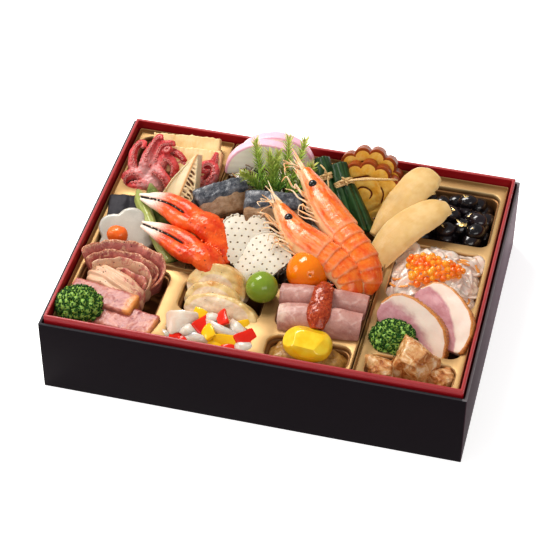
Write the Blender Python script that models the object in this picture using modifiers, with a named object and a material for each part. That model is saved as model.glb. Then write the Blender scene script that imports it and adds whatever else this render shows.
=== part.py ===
"""A New Year bento: a black box with a red liner, four gold foil trays and the food that fills them.

Millimetres are used for every size and place here and turned into metres by MM. The origin is the
middle of the box's underside, +X runs to the right along the front edge, +Y to the back, +Z up.
"""

import math

import bmesh
import bpy
from mathutils import Matrix, Vector, noise
from mathutils.bvhtree import BVHTree

MM = 0.001
GAP = 0.35  # clearance between two pieces that touch
LEAST_LEFT = 0.2  # a cut that leaves less of a piece than this has gone wrong
WIDER_GAPS = (GAP, 1.3 * GAP, 1.7 * GAP)  # tried in turn where a cut goes wrong
FLAT_ANGLE = math.radians(0.1)
WELD = 2e-6  # metres

# The box and its liner.
BOX_WIDTH = 270.0
BOX_DEPTH = 207.0
BOX_HEIGHT = 55.3
BOARD = 2.5
LINER_BOARD = 3.0
RIM_Z = 60.2
LINER_X = BOX_WIDTH / 2 - BOARD - GAP  # outer half width of the liner
LINER_Y = BOX_DEPTH / 2 - BOARD - GAP
LINER_FLOOR_Z = BOARD + GAP + LINER_BOARD
INNER_X = LINER_X - LINER_BOARD  # inner half width of the liner
INNER_Y = LINER_Y - LINER_BOARD

# The foil trays.
FLANGE_Z = 52.0
FOIL = 0.7
FLOOR_Z = 32.0  # upper face of every pocket's floor
POCKET_TAPER = 2.8  # how far a pocket's wall comes in between its mouth and its floor
CORNER_STEPS = 2
TRAY_X = INNER_X - GAP
TRAY_Y = INNER_Y - GAP
LEFT_SEAM = -60.6  # between the back left tray and the centre tray
RIGHT_SEAM = 62.2  # between the right tray and its neighbours
FRONT_SEAM = -31.2  # between the front tray and the ones behind it
SEAM_HALF = 0.25

# Pockets: left, front, right, back at the flange, and the corner radius.
OCTOPUS_POCKET = (-126.3, 37.5, -66.6, 94.5, 10.0)
SIMMERED_POCKET = (-125.4, -27.5, -65.6, 31.0, 9.0)
PASTRAMI_POCKET = (-126.0, -94.8, -66.8, -34.2, 8.0)
CHICKEN_POCKET = (-58.2, -67.0, -3.2, -35.5, 9.0)
PEPPER_POCKET = (-58.2, -94.8, -3.2, -72.0, 8.0)
HAM_POCKET = (5.2, -67.0, 59.6, -35.5, 9.0)
MASH_POCKET = (5.2, -94.8, 59.6, -72.0, 8.0)
CENTRE_POCKET = (-58.6, -29.2, 60.2, 95.3, 8.0)
BEANS_POCKET = (71.0, 36.0, 125.4, 91.5, 8.0)
SALAD_POCKET = (67.0, -25.0, 125.8, 30.0, 9.0)
DUCK_POCKET = (68.0, -68.5, 125.2, -33.5, 8.0)
CUBES_POCKET = (68.0, -94.8, 125.2, -73.0, 8.0)

# Base colour (linear), roughness, metallic.
FINISHES = {
    "black_board": ((0.012, 0.010, 0.014), 0.5, 0.0),
    "red_lacquer": ((0.33, 0.016, 0.026), 0.28, 0.0),
    "gold_foil": ((0.80, 0.55, 0.24), 0.25, 1.0),
    "octopus": ((0.55, 0.06, 0.07), 0.35, 0.0),
    "bamboo": ((0.84, 0.66, 0.36), 0.45, 0.0),
    "konnyaku": ((0.03, 0.025, 0.028), 0.4, 0.0),
    "radish": ((0.66, 0.64, 0.58), 0.35, 0.0),
    "carrot": ((0.80, 0.13, 0.03), 0.35, 0.0),
    "green_stalk": ((0.17, 0.25, 0.06), 0.4, 0.0),
    "pastrami": ((0.40, 0.11, 0.10), 0.5, 0.0),
    "ham": ((0.62, 0.27, 0.25), 0.5, 0.0),
    "broccoli": ((0.05, 0.16, 0.03), 0.7, 0.0),
    "chicken": ((0.80, 0.60, 0.34), 0.5, 0.0),
    "pepper": ((0.80, 0.12, 0.03), 0.3, 0.0),
    "plum": ((0.20, 0.36, 0.03), 0.2, 0.0),
    "squid": ((0.86, 0.82, 0.70), 0.45, 0.0),
    "crab": ((0.80, 0.12, 0.04), 0.35, 0.0),
    "fish": ((0.11, 0.12, 0.14), 0.4, 0.0),
    "kamaboko": ((0.88, 0.60, 0.66), 0.45, 0.0),
    "sardine": ((0.33, 0.24, 0.13), 0.3, 0.0),
    "sprig": ((0.10, 0.28, 0.05), 0.6, 0.0),
    "leaf": ((0.01, 0.06, 0.025), 0.4, 0.0),
    "egg_roll": ((0.80, 0.46, 0.13), 0.45, 0.0),
    "roe_sac": ((0.78, 0.55, 0.24), 0.4, 0.0),
    "bean": ((0.006, 0.006, 0.008), 0.15, 0.0),
    "salad": ((0.82, 0.70, 0.62), 0.4, 0.0),
    "salmon_roe": ((0.90, 0.22, 0.02), 0.15, 0.0),
    "duck": ((0.62, 0.28, 0.28), 0.45, 0.0),
    "glazed_meat": ((0.42, 0.19, 0.07), 0.3, 0.0),
    "relish": ((0.35, 0.04, 0.02), 0.2, 0.0),
    "tomato": ((0.86, 0.24, 0.02), 0.15, 0.0),
    "chestnut": ((0.86, 0.58, 0.02), 0.15, 0.0),
    "mash": ((0.58, 0.36, 0.10), 0.4, 0.0),
    "shrimp": ((0.84, 0.25, 0.08), 0.35, 0.0),
}


def clear_scene():
    for obj in list(bpy.data.objects):
        bpy.data.objects.remove(obj, do_unlink=True)


def new_collection(name):
    collection = bpy.data.collections.new(name)
    bpy.context.scene.collection.children.link(collection)
    return collection


def finish(name):
    """The Principled material of this name, made once."""
    if name in bpy.data.materials:
        return bpy.data.materials[name]
    colour, roughness, metallic = FINISHES[name]
    material = bpy.data.materials.new(name)
    material.use_nodes = True
    shader = material.node_tree.nodes["Principled BSDF"]
    shader.inputs["Base Color"].default_value = (*colour, 1.0)
    shader.inputs["Roughness"].default_value = roughness
    shader.inputs["Metallic"].default_value = metallic
    material.diffuse_color = (*colour, 1.0)
    return material


clear_scene()
MEAL = new_collection("bento_box_meal")
CUTTERS = new_collection("cutters")
CUTTERS.hide_render = True
PARTS = {}  # the overlapping bodies that a joined piece was made from


def add_piece(name, mesh, material, smooth=40.0):
    """Puts a mesh in the scene as the named piece."""
    flatten_faces(mesh)
    mesh.name = name
    mesh.materials.clear()
    mesh.materials.append(finish(material))
    mesh.shade_smooth()
    mesh.set_sharp_from_angle(angle=math.radians(smooth))
    obj = bpy.data.objects.new(name, mesh)
    MEAL.objects.link(obj)
    return obj


def flatten_faces(mesh):
    """Splits every bent face along a diagonal, so that the surface is the same to every tool."""
    bm = bmesh.new()
    bm.from_mesh(mesh)
    bmesh.ops.connect_verts_nonplanar(bm, angle_limit=FLAT_ANGLE, faces=bm.faces[:])
    bm.to_mesh(mesh)
    bm.free()


def add_joined(name, parts, material):
    """One closed piece from parts that run into each other; the parts are kept for cutting."""
    for part in parts:
        flatten_faces(part)
    PARTS[name] = parts
    add_piece(name, joined(parts), material)


def mesh_of(bm):
    """A mesh in metres from a bmesh in millimetres."""
    bmesh.ops.recalc_face_normals(bm, faces=bm.faces[:])
    bmesh.ops.scale(bm, vec=(MM, MM, MM), verts=bm.verts[:])
    mesh = bpy.data.meshes.new("made")
    bm.to_mesh(mesh)
    bm.free()
    return mesh


def stance(at, yaw=0.0, lean=90.0, roll=0.0):
    """Where a piece drawn flat in its own XY plane goes.

    lean is how far it lies back from upright (90 is flat on its back, 0 stands facing the front),
    roll turns it in its own plane first and yaw turns it about the vertical last.
    """
    return (
        Matrix.Translation(Vector(at))
        @ Matrix.Rotation(math.radians(yaw), 4, "Z")
        @ Matrix.Rotation(math.radians(90.0 - lean), 4, "X")
        @ Matrix.Rotation(math.radians(roll), 4, "Z")
    )


def smooth_path(points, steps=3):
    """A Catmull-Rom curve through the points, with this many steps to each stretch."""
    points = [Vector(p) for p in points]
    padded = [2 * points[0] - points[1], *points, 2 * points[-1] - points[-2]]
    path = []
    for a, b, c, d in zip(padded, padded[1:], padded[2:], padded[3:]):
        for step in range(steps):
            t = step / steps
            path.append(
                0.5
                * (
                    2 * b
                    + (c - a) * t
                    + (2 * a - 5 * b + 4 * c - d) * t * t
                    + (3 * b - a - 3 * c + d) * t**3
                )
            )
    return [*path, points[-1]]


def spread(values, count):
    """Values read off evenly along a short list, by straight interpolation."""
    out = []
    for i in range(count):
        place = i / (count - 1) * (len(values) - 1)
        low = min(int(place), len(values) - 2)
        out.append(values[low] + (values[low + 1] - values[low]) * (place - low))
    return out


# Shapes: each returns a mesh in metres.


def open_case(half_x, half_y, low, high, board, rim_bevel, name, material):
    """An open box of board: five faces of a cube, given a thickness inwards."""
    bm = bmesh.new()
    bmesh.ops.create_cube(bm, size=2.0)
    bmesh.ops.delete(
        bm, geom=[f for f in bm.faces if f.normal.z > 0.5], context="FACES"
    )
    bmesh.ops.scale(bm, vec=(half_x, half_y, (high - low) / 2), verts=bm.verts[:])
    bmesh.ops.translate(bm, vec=(0, 0, (high + low) / 2), verts=bm.verts[:])
    bmesh.ops.scale(bm, vec=(MM, MM, MM), verts=bm.verts[:])
    mesh = bpy.data.meshes.new(name)
    bm.to_mesh(mesh)
    bm.free()
    obj = add_piece(name, mesh, material)
    wall = obj.modifiers.new("wall", "SOLIDIFY")
    wall.thickness = board * MM
    wall.offset = -1.0
    edge = obj.modifiers.new("edge", "BEVEL")
    edge.width = rim_bevel * MM
    edge.segments = 1
    edge.limit_method = "ANGLE"
    return obj


def rounded_loop(pocket, inset, z):
    """The points of a rectangle with round corners, anticlockwise."""
    left, front, right, back, radius = pocket
    left, front, right, back = left + inset, front + inset, right - inset, back - inset
    radius = max(radius - inset, 0.5)
    corners = (
        (right - radius, back - radius, 0),
        (left + radius, back - radius, 90),
        (left + radius, front + radius, 180),
        (right - radius, front + radius, 270),
    )
    points = []
    for x, y, start in corners:
        for step in range(CORNER_STEPS + 1):
            angle = math.radians(start + 90 * step / CORNER_STEPS)
            points.append(
                Vector((x + radius * math.cos(angle), y + radius * math.sin(angle), z))
            )
    return points


def closed_edges(bm, points):
    verts = [bm.verts.new(p) for p in points]
    return [bm.edges.new((a, b)) for a, b in zip(verts, verts[1:] + verts[:1])]


def extruded_ring(bm, edges, targets):
    """Extrudes a closed ring of edges and moves the new points to the targets, in the ring's order."""
    ring = []
    for i, edge in enumerate(edges):
        before = edges[i - 1]
        ring.append(next(v for v in edge.verts if v in before.verts))
    made = bmesh.ops.extrude_edge_only(bm, edges=edges)["geom"]
    new_verts = [g for g in made if isinstance(g, bmesh.types.BMVert)]
    placed = []
    for old, target in zip(ring, targets):
        new = next(v for v in new_verts if (v.co - old.co).length < 1e-6)
        placed.append((new, target))
    for new, target in placed:
        new.co = target
    verts = [new for new, _ in placed]
    return [
        next(e for e in a.link_edges if b in e.verts)
        for a, b in zip(verts, verts[1:] + verts[:1])
    ]


def tray(name, left, front, right, back, pockets):
    """A formed foil tray: a flange with pockets let into it, standing on a skirt."""
    outline = (left, front, right, back, 1.5)
    bm = bmesh.new()
    rim = closed_edges(bm, rounded_loop(outline, 0.0, FLANGE_Z))
    mouths = [closed_edges(bm, rounded_loop(p, 0.0, FLANGE_Z)) for p in pockets]
    loops = [edge for loop in (rim, *mouths) for edge in loop]
    bmesh.ops.triangle_fill(bm, use_beauty=True, edges=loops, normal=(0, 0, 1))
    for pocket, mouth in zip(pockets, mouths):
        foot = extruded_ring(bm, mouth, rounded_loop(pocket, POCKET_TAPER, FLOOR_Z))
        bmesh.ops.edgeloop_fill(bm, edges=foot)
    extruded_ring(bm, rim, rounded_loop(outline, 0.0, LINER_FLOOR_Z + GAP))
    bmesh.ops.recalc_face_normals(bm, faces=bm.faces[:])
    flange = max(bm.faces, key=lambda face: face.calc_center_median().z)
    if flange.normal.z < 0:
        bmesh.ops.reverse_faces(bm, faces=bm.faces[:])
    bmesh.ops.scale(bm, vec=(MM, MM, MM), verts=bm.verts[:])
    mesh = bpy.data.meshes.new(name)
    bm.to_mesh(mesh)
    bm.free()
    obj = add_piece(name, mesh, "gold_foil")
    foil = obj.modifiers.new("foil", "SOLIDIFY")
    foil.thickness = FOIL * MM
    foil.offset = -1.0
    foil.use_even_offset = True
    return obj


def wall_inset(z):
    """How far a pocket's wall has come in at this height."""
    return POCKET_TAPER * (FLANGE_Z - z) / (FLANGE_Z - FLOOR_Z)


def heap(region, edge_z, crown_z, bumps, seed, floor_z=FLOOR_Z + GAP, rings=(0.78, 0.4)):
    """A heap that fills a pocket up to edge_z at its wall and crown_z in its middle."""
    left, front, right, back, _ = region
    middle = Vector(((left + right) / 2, (front + back) / 2, 0))
    levels = [rounded_loop(region, wall_inset(z) + GAP, z) for z in (floor_z, edge_z)]
    top = levels[-1]
    for share in rings:
        rise = math.sqrt(1 - share * share)
        ring = []
        for p in top:
            q = middle + (Vector((p.x, p.y, 0)) - middle) * share
            lump = noise.noise(Vector((q.x, q.y, seed)) * 0.11) * bumps
            ring.append(Vector((q.x, q.y, edge_z + (crown_z - edge_z) * rise + lump)))
        levels.append(ring)
    bm = bmesh.new()
    edges = closed_edges(bm, levels[0])
    bmesh.ops.edgeloop_fill(bm, edges=edges)
    for ring in levels[1:]:
        edges = extruded_ring(bm, edges, ring)
    bmesh.ops.edgeloop_fill(bm, edges=edges)
    return mesh_of(bm)


def slab(outline, thickness, place, rounding=0.0):
    """A flat piece: a filled outline with a thickness, its middle layer on the placing plane."""
    curve = bpy.data.curves.new("outline", "CURVE")
    curve.dimensions = "2D"
    curve.fill_mode = "BOTH"
    curve.extrude = (thickness / 2 - rounding) * MM
    curve.bevel_depth = rounding * MM
    curve.bevel_resolution = 0
    spline = curve.splines.new("POLY")
    spline.points.add(len(outline) - 1)
    for point, (x, y) in zip(spline.points, outline):
        point.co = (x * MM, y * MM, 0, 1)
    spline.use_cyclic_u = True
    return mesh_from_curve(curve, place)


def mesh_from_curve(curve, place=None):
    holder = bpy.data.objects.new("curve", curve)
    MEAL.objects.link(holder)
    graph = bpy.context.evaluated_depsgraph_get()
    mesh = bpy.data.meshes.new_from_object(holder.evaluated_get(graph))
    bpy.data.objects.remove(holder, do_unlink=True)
    bm = bmesh.new()
    bm.from_mesh(mesh)
    bmesh.ops.remove_doubles(bm, verts=bm.verts[:], dist=2e-6)
    if place is not None:
        bmesh.ops.scale(bm, vec=(1 / MM, 1 / MM, 1 / MM), verts=bm.verts[:])
        bmesh.ops.transform(bm, matrix=place, verts=bm.verts[:])
        bmesh.ops.scale(bm, vec=(MM, MM, MM), verts=bm.verts[:])
    bmesh.ops.recalc_face_normals(bm, faces=bm.faces[:])
    bm.to_mesh(mesh)
    bm.free()
    return mesh


def tube(points, radii, steps=3, sides=6):
    """A round limb or stalk along a smooth curve, its radius given at even steps along it."""
    path = smooth_path(points, steps)
    curve = bpy.data.curves.new("limb", "CURVE")
    curve.dimensions = "3D"
    curve.bevel_depth = MM
    curve.bevel_resolution = (sides - 4) // 2
    curve.use_fill_caps = True
    spline = curve.splines.new("POLY")
    spline.points.add(len(path) - 1)
    for point, place, radius in zip(spline.points, path, spread(radii, len(path))):
        point.co = (*(place * MM), 1)
        point.radius = radius
    return mesh_from_curve(curve)


def loft(points, widths, heights, up=(0, 0, 1), steps=2, sides=8):
    """A body of oval sections along a curve; widths lie across it and heights along up."""
    path = smooth_path(points, steps)
    widths = spread(widths, len(path))
    heights = spread(heights, len(path))
    rings = []
    for i, place in enumerate(path):
        along = (path[min(i + 1, len(path) - 1)] - path[max(i - 1, 0)]).normalized()
        across = along.cross(Vector(up)).normalized()
        rise = across.cross(along).normalized()
        ring = []
        for k in range(sides):
            angle = 2 * math.pi * (k + 0.5) / sides
            ring.append(
                place
                + across * (widths[i] * math.cos(angle))
                + rise * (heights[i] * math.sin(angle))
            )
        rings.append(ring)
    bm = bmesh.new()
    edges = closed_edges(bm, rings[0])
    bmesh.ops.edgeloop_fill(bm, edges=edges)
    for ring in rings[1:]:
        edges = extruded_ring(bm, edges, ring)
    bmesh.ops.edgeloop_fill(bm, edges=edges)
    return mesh_of(bm)


def lump(size, place, seed=0.0, rough=0.0, grain=0.9, detail=2):
    """A rounded piece: an icosphere of the given half sizes with its surface pushed about."""
    bm = bmesh.new()
    bmesh.ops.create_icosphere(bm, subdivisions=detail, radius=1.0)
    for vert in bm.verts:
        push = noise.noise(vert.co * grain + Vector((seed, 2 * seed, -seed)))
        vert.co *= 1 + rough * push
    bmesh.ops.scale(bm, vec=size, verts=bm.verts[:])
    bmesh.ops.transform(bm, matrix=place, verts=bm.verts[:])
    return mesh_of(bm)


def block(size, place, rounding, twist=0.0):
    """A bar with rounded edges, its far end turned by twist degrees."""
    bm = bmesh.new()
    bmesh.ops.create_cube(bm, size=1.0)
    bmesh.ops.scale(bm, vec=size, verts=bm.verts[:])
    bmesh.ops.bevel(
        bm, geom=bm.edges[:], offset=rounding, segments=1, affect="EDGES", profile=0.5
    )
    for vert in bm.verts:
        turn = Matrix.Rotation(math.radians(twist) * vert.co.x / size[0], 3, "X")
        vert.co = turn @ vert.co
    bmesh.ops.transform(bm, matrix=place, verts=bm.verts[:])
    return mesh_of(bm)


def joined(meshes):
    """One closed body from several that run into each other."""
    base = bpy.data.objects.new("base", meshes[0])
    MEAL.objects.link(base)
    others = []
    for mesh in meshes[1:]:
        other = bpy.data.objects.new("limb", mesh)
        CUTTERS.objects.link(other)
        other.display_type = "WIRE"
        union = base.modifiers.new("join", "BOOLEAN")
        union.operation = "UNION"
        union.solver = "EXACT"
        union.object = other
        others.append(other)
    graph = bpy.context.evaluated_depsgraph_get()
    mesh = bpy.data.meshes.new_from_object(base.evaluated_get(graph))
    for obj in (base, *others):
        bpy.data.objects.remove(obj, do_unlink=True)
    keep_largest(mesh)
    return mesh


def arc(cx, cy, rx, ry, start, end, count):
    """Points along an oval arc, in degrees anticlockwise from +X."""
    turns = [start + (end - start) * i / (count - 1) for i in range(count)]
    return [
        (cx + rx * math.cos(math.radians(a)), cy + ry * math.sin(math.radians(a)))
        for a in turns
    ]


# The box.


def make_box():
    open_case(
        BOX_WIDTH / 2, BOX_DEPTH / 2, 0.0, BOX_HEIGHT, BOARD, 0.5, "box_shell", "black_board"
    )
    open_case(
        LINER_X, LINER_Y, BOARD + GAP, RIM_Z, LINER_BOARD, 0.8, "box_liner", "red_lacquer"
    )


def make_trays():
    left, right = LEFT_SEAM, RIGHT_SEAM
    tray(
        "tray_back_left", -TRAY_X, FRONT_SEAM + SEAM_HALF, left - SEAM_HALF, TRAY_Y,
        (OCTOPUS_POCKET, SIMMERED_POCKET),
    )
    tray(
        "tray_front", -TRAY_X, -TRAY_Y, right - SEAM_HALF, FRONT_SEAM - SEAM_HALF,
        (PASTRAMI_POCKET, CHICKEN_POCKET, PEPPER_POCKET, HAM_POCKET, MASH_POCKET),
    )
    tray(
        "tray_right", right + SEAM_HALF, -TRAY_Y, TRAY_X, TRAY_Y,
        (BEANS_POCKET, SALAD_POCKET, DUCK_POCKET, CUBES_POCKET),
    )
    tray(
        "tray_centre", left + SEAM_HALF, FRONT_SEAM + SEAM_HALF, right - SEAM_HALF, TRAY_Y,
        (CENTRE_POCKET,),
    )


# The food, pocket by pocket. Each function adds its pieces from the lowest to the topmost.


def octopus(name, body, limbs):
    at, size, yaw = body
    parts = [lump(size, stance(at, yaw), seed=3.1, rough=0.1)]
    parts += [tube(points, radii, 2) for points, radii in limbs]
    add_joined(name, parts, "octopus")


def fill_octopus_pocket():
    add_piece(
        "bamboo_slab_back",
        block((46, 17, 9), stance((-91, 80.5, 57), 6, 52), 1.2),
        "bamboo",
    )
    add_piece(
        "bamboo_slab_front",
        block((36, 19, 8), stance((-82, 68.5, 56), 4, 60), 1.2),
        "bamboo",
    )
    octopus(
        "octopus_left",
        ((-109, 58, 46), (15, 17, 13.5), 20),
        (
            (((-114, 55, 50), (-122, 58, 57), (-124, 68, 60), (-118, 75, 62)), (5, 4, 3, 1.6)),
            (((-110, 60, 52), (-106, 66, 62), (-108, 75, 68), (-103, 78, 66)), (5, 4.2, 3, 1.6)),
            (((-104, 62, 52), (-99, 66, 60), (-98, 70, 66), (-101, 72, 68)), (4.6, 3.8, 3, 1.8)),
            (((-112, 48, 46), (-119, 42, 51), (-123, 43, 49)), (5, 4, 2.5)),
            (((-101, 56, 50), (-94, 60, 58), (-90, 54, 59), (-90, 47, 54)), (5, 4.2, 3.8, 2.6)),
        ),
    )
    octopus(
        "octopus_right",
        ((-78, 54, 45.5), (12, 13, 12.5), -10),
        (
            (
                ((-76, 51, 47), (-69, 50, 54), (-66, 57, 58), (-71, 63, 60), (-77, 61, 60)),
                (5, 4.4, 3.4, 2.6, 1.6),
            ),
            (((-73, 60, 50), (-69, 66, 57), (-68, 73, 63)), (4.6, 3.6, 1.4)),
            (((-84, 56, 50), (-86, 63, 56), (-92, 66, 58), (-97, 62, 56)), (4.4, 3.6, 3, 1.8)),
        ),
    )
    tip = [
        (-12, -22), (14, -22), (12.5, -5), (7.2, 12.5), (3, 26), (1, 26), (-4.5, 14.5),
        (-9, 3.5), (-11.5, -8),
    ]
    add_piece(
        "bamboo_tip", slab(tip, 13, stance((-83, 45, 52), -12, 40, -6), 2.5), "bamboo"
    )


def fill_simmered_pocket():
    add_piece(
        "konnyaku", block((29, 22, 13), stance((-112, 17, 49), 12, 70), 2.0, 40), "konnyaku"
    )
    petals = 5
    outline = []
    for k in range(petals * 4):
        angle = 2 * math.pi * k / (petals * 4)
        reach = 19.5 * (0.76 + 0.24 * abs(math.sin(petals * angle / 2 + 1.35)))
        outline.append((reach * math.cos(angle), reach * math.sin(angle)))
    add_piece("radish_flower", slab(outline, 14, stance((-107, -7, 48), 10, 62), 3.0), "radish")
    add_piece(
        "carrot_piece", lump((6.5, 5, 5.5), stance((-110, -16.5, 59), 5), 1.0, 0.06), "carrot"
    )
    stalk = (5.0, 3.6, 3.6, 3.6, 3.4)
    add_piece(
        "stalk_right",
        tube(((-104, 38, 57), (-96, 22, 54), (-82, 0, 51), (-68, -21, 50)), (1.5, *stalk)),
        "green_stalk",
    )
    add_piece(
        "stalk_left",
        tube(((-110, 29, 58), (-101, 14, 57), (-86, -9, 54), (-73, -25.5, 51)), (1.5, *stalk)),
        "green_stalk",
    )


def folded_slice(path, low, high, thickness, flare):
    """A standing ribbon of sliced meat: its foot follows the path and its head flares outwards."""
    points = smooth_path([(x, y, 0) for x, y in path], 2)
    sections = []
    for i, p in enumerate(points):
        along = (points[min(i + 1, len(points) - 1)] - points[max(i - 1, 0)]).normalized()
        out = Vector((along.y, -along.x, 0))
        top = high + 1.5 * math.sin(i * 2.0)
        sections.append(
            [
                p + Vector((0, 0, low)),
                p + out * thickness + Vector((0, 0, low)),
                p + out * (thickness + flare) + Vector((0, 0, top)),
                p + out * flare + Vector((0, 0, top + 0.8)),
            ]
        )
    bm = bmesh.new()
    edges = closed_edges(bm, sections[0])
    bmesh.ops.edgeloop_fill(bm, edges=edges)
    for section in sections[1:]:
        edges = extruded_ring(bm, edges, section)
    bmesh.ops.edgeloop_fill(bm, edges=edges)
    return mesh_of(bm)


def fill_pastrami_pocket():
    add_piece(
        "ham_stick_front",
        block((47, 18, 17), stance((-88.5, -82.5, 45), -9, 84), 2.5),
        "ham",
    )
    add_piece(
        "ham_stick_back",
        block((44, 15, 14), stance((-103, -70, 50), -9, 84), 2.5),
        "ham",
    )
    add_piece(
        "pastrami_outer",
        folded_slice(arc(-98, -43, 23, 9, 195, -45, 7), 34, 66, 4.5, 4.5),
        "pastrami",
    )
    add_piece(
        "pastrami_middle",
        folded_slice(arc(-96, -51, 17, 9, 175, -40, 6), 34, 63, 5.0, 2.0),
        "pastrami",
    )
    add_piece(
        "pastrami_inner",
        lump((22, 11, 13.5), stance((-100, -56, 47.5), -24), 4.0, 0.1),
        "pastrami",
    )
    broccoli("broccoli_left", (-115.5, -80.5, 53.5), (16.5, 13.5, 13), 2.0)


def broccoli(name, at, size, seed):
    crown = lump(size, stance(at), seed, 0.22, 2.4)
    stem = tube(
        (Vector(at) + Vector((0, 3, -8)), Vector(at) + Vector((1, 5, -18))), (6, 5), 1
    )
    add_joined(name, [crown, stem], "broccoli")


def chicken_slice(name, at, half, height, yaw, lean, thick):
    outline = [
        *arc(0, 0, half, height, 8, 172, 8),
        (-half * 0.96, -height * 0.55),
        (0, -height * 0.7),
        (half * 0.96, -height * 0.5),
    ]
    add_piece(name, slab(outline, thick, stance(at, yaw, lean), 2.0), "chicken")


def fill_chicken_pocket():
    add_piece("pepper_mix", heap(PEPPER_POCKET, 46.5, 53.5, 4.0, 5.0), "pepper")
    chicken_slice("chicken_back", (-36, -40.5, 50), 20, 16, -8, 40, 10)
    chicken_slice("chicken_middle", (-36, -51, 47), 19, 14, -8, 40, 9)
    chicken_slice("chicken_front", (-28.5, -60.5, 47), 25, 13, -9, 46, 11)
    add_piece("green_plum", lump((10.3, 10.3, 10.0), stance((-6.4, -44.0, 61.6))), "plum")


def fill_ham_pocket():
    add_piece("sweet_potato_mash", heap(MASH_POCKET, 42.0, 50.5, 2.5, 9.0), "mash")
    add_piece(
        "chestnut", lump((15.5, 11.5, 9.0), stance((31.5, -79.5, 55), -6), 6.0, 0.05), "chestnut"
    )
    add_piece(
        "ham_roll_front",
        loft(
            ((9, -59.5, 52), (22, -59, 53), (44, -58, 53), (60, -57, 52)),
            (9.5, 10.5, 10.5, 10), (10, 11.5, 11.5, 11),
        ),
        "ham",
    )
    add_piece(
        "ham_roll_back",
        loft(
            ((6, -42, 54), (22, -41.5, 55), (44, -40.5, 55), (60.5, -40, 54)),
            (8.5, 9, 9, 8.5), (9, 9.5, 9.5, 9),
        ),
        "ham",
    )
    add_piece(
        "tomato_relish",
        loft(
            ((33, -34, 64), (33, -42, 67), (33.5, -52, 65), (34, -62, 63.5), (35, -69.5, 59)),
            (3, 6, 7, 7.5, 4), (2, 3, 3.5, 3.5, 2.5),
        ),
        "relish",
    )


def half_moon(radius, rise):
    return [*arc(0, 0, radius, rise, 0, 180, 11), (-radius * 0.94, -5), (radius * 0.94, -5)]


def scalloped(radius, lobes, depth):
    outline = []
    for k in range(lobes * 3):
        angle = 2 * math.pi * k / (lobes * 3)
        reach = radius - depth * (1 - abs(math.sin(lobes * angle / 2)))
        outline.append((reach * math.cos(angle), reach * math.sin(angle)))
    return outline


def crab_claw(name, arm, widths, upper, lower):
    """A claw: an arm that widens to the palm, and two fingers that leave a narrow jaw."""
    parts = [loft(arm, widths, [0.75 * w for w in widths], (0, 0, 1), 2)]
    root = Vector(arm[-1]) * 0.5 + Vector(arm[-2]) * 0.5
    parts += [tube((root, *finger), (4.0, 5.0, 3.2, 0.9), 2) for finger in (upper, lower)]
    add_joined(name, parts, "crab")


RINGS_PER_STRETCH = 2
PLATE_STEP = 0.93  # how much narrower a shrimp is where two of its plates meet


def shrimp(name, spine, widths, heights, eye, up):
    """A whole cooked shrimp: a ringed body along its spine, a pointed head and an eye."""
    count = RINGS_PER_STRETCH * (len(spine) - 1) + 1
    plates = [1.0 if i % 2 else PLATE_STEP for i in range(count)]
    body = loft(
        spine,
        [w * p for w, p in zip(spread(widths, count), plates)],
        [h * p for h, p in zip(spread(heights, count), plates)],
        up,
        RINGS_PER_STRETCH,
    )
    ball = lump((2.7, 2.7, 2.7), stance(eye), detail=1)
    add_joined(name, [body, ball], "shrimp")


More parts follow.
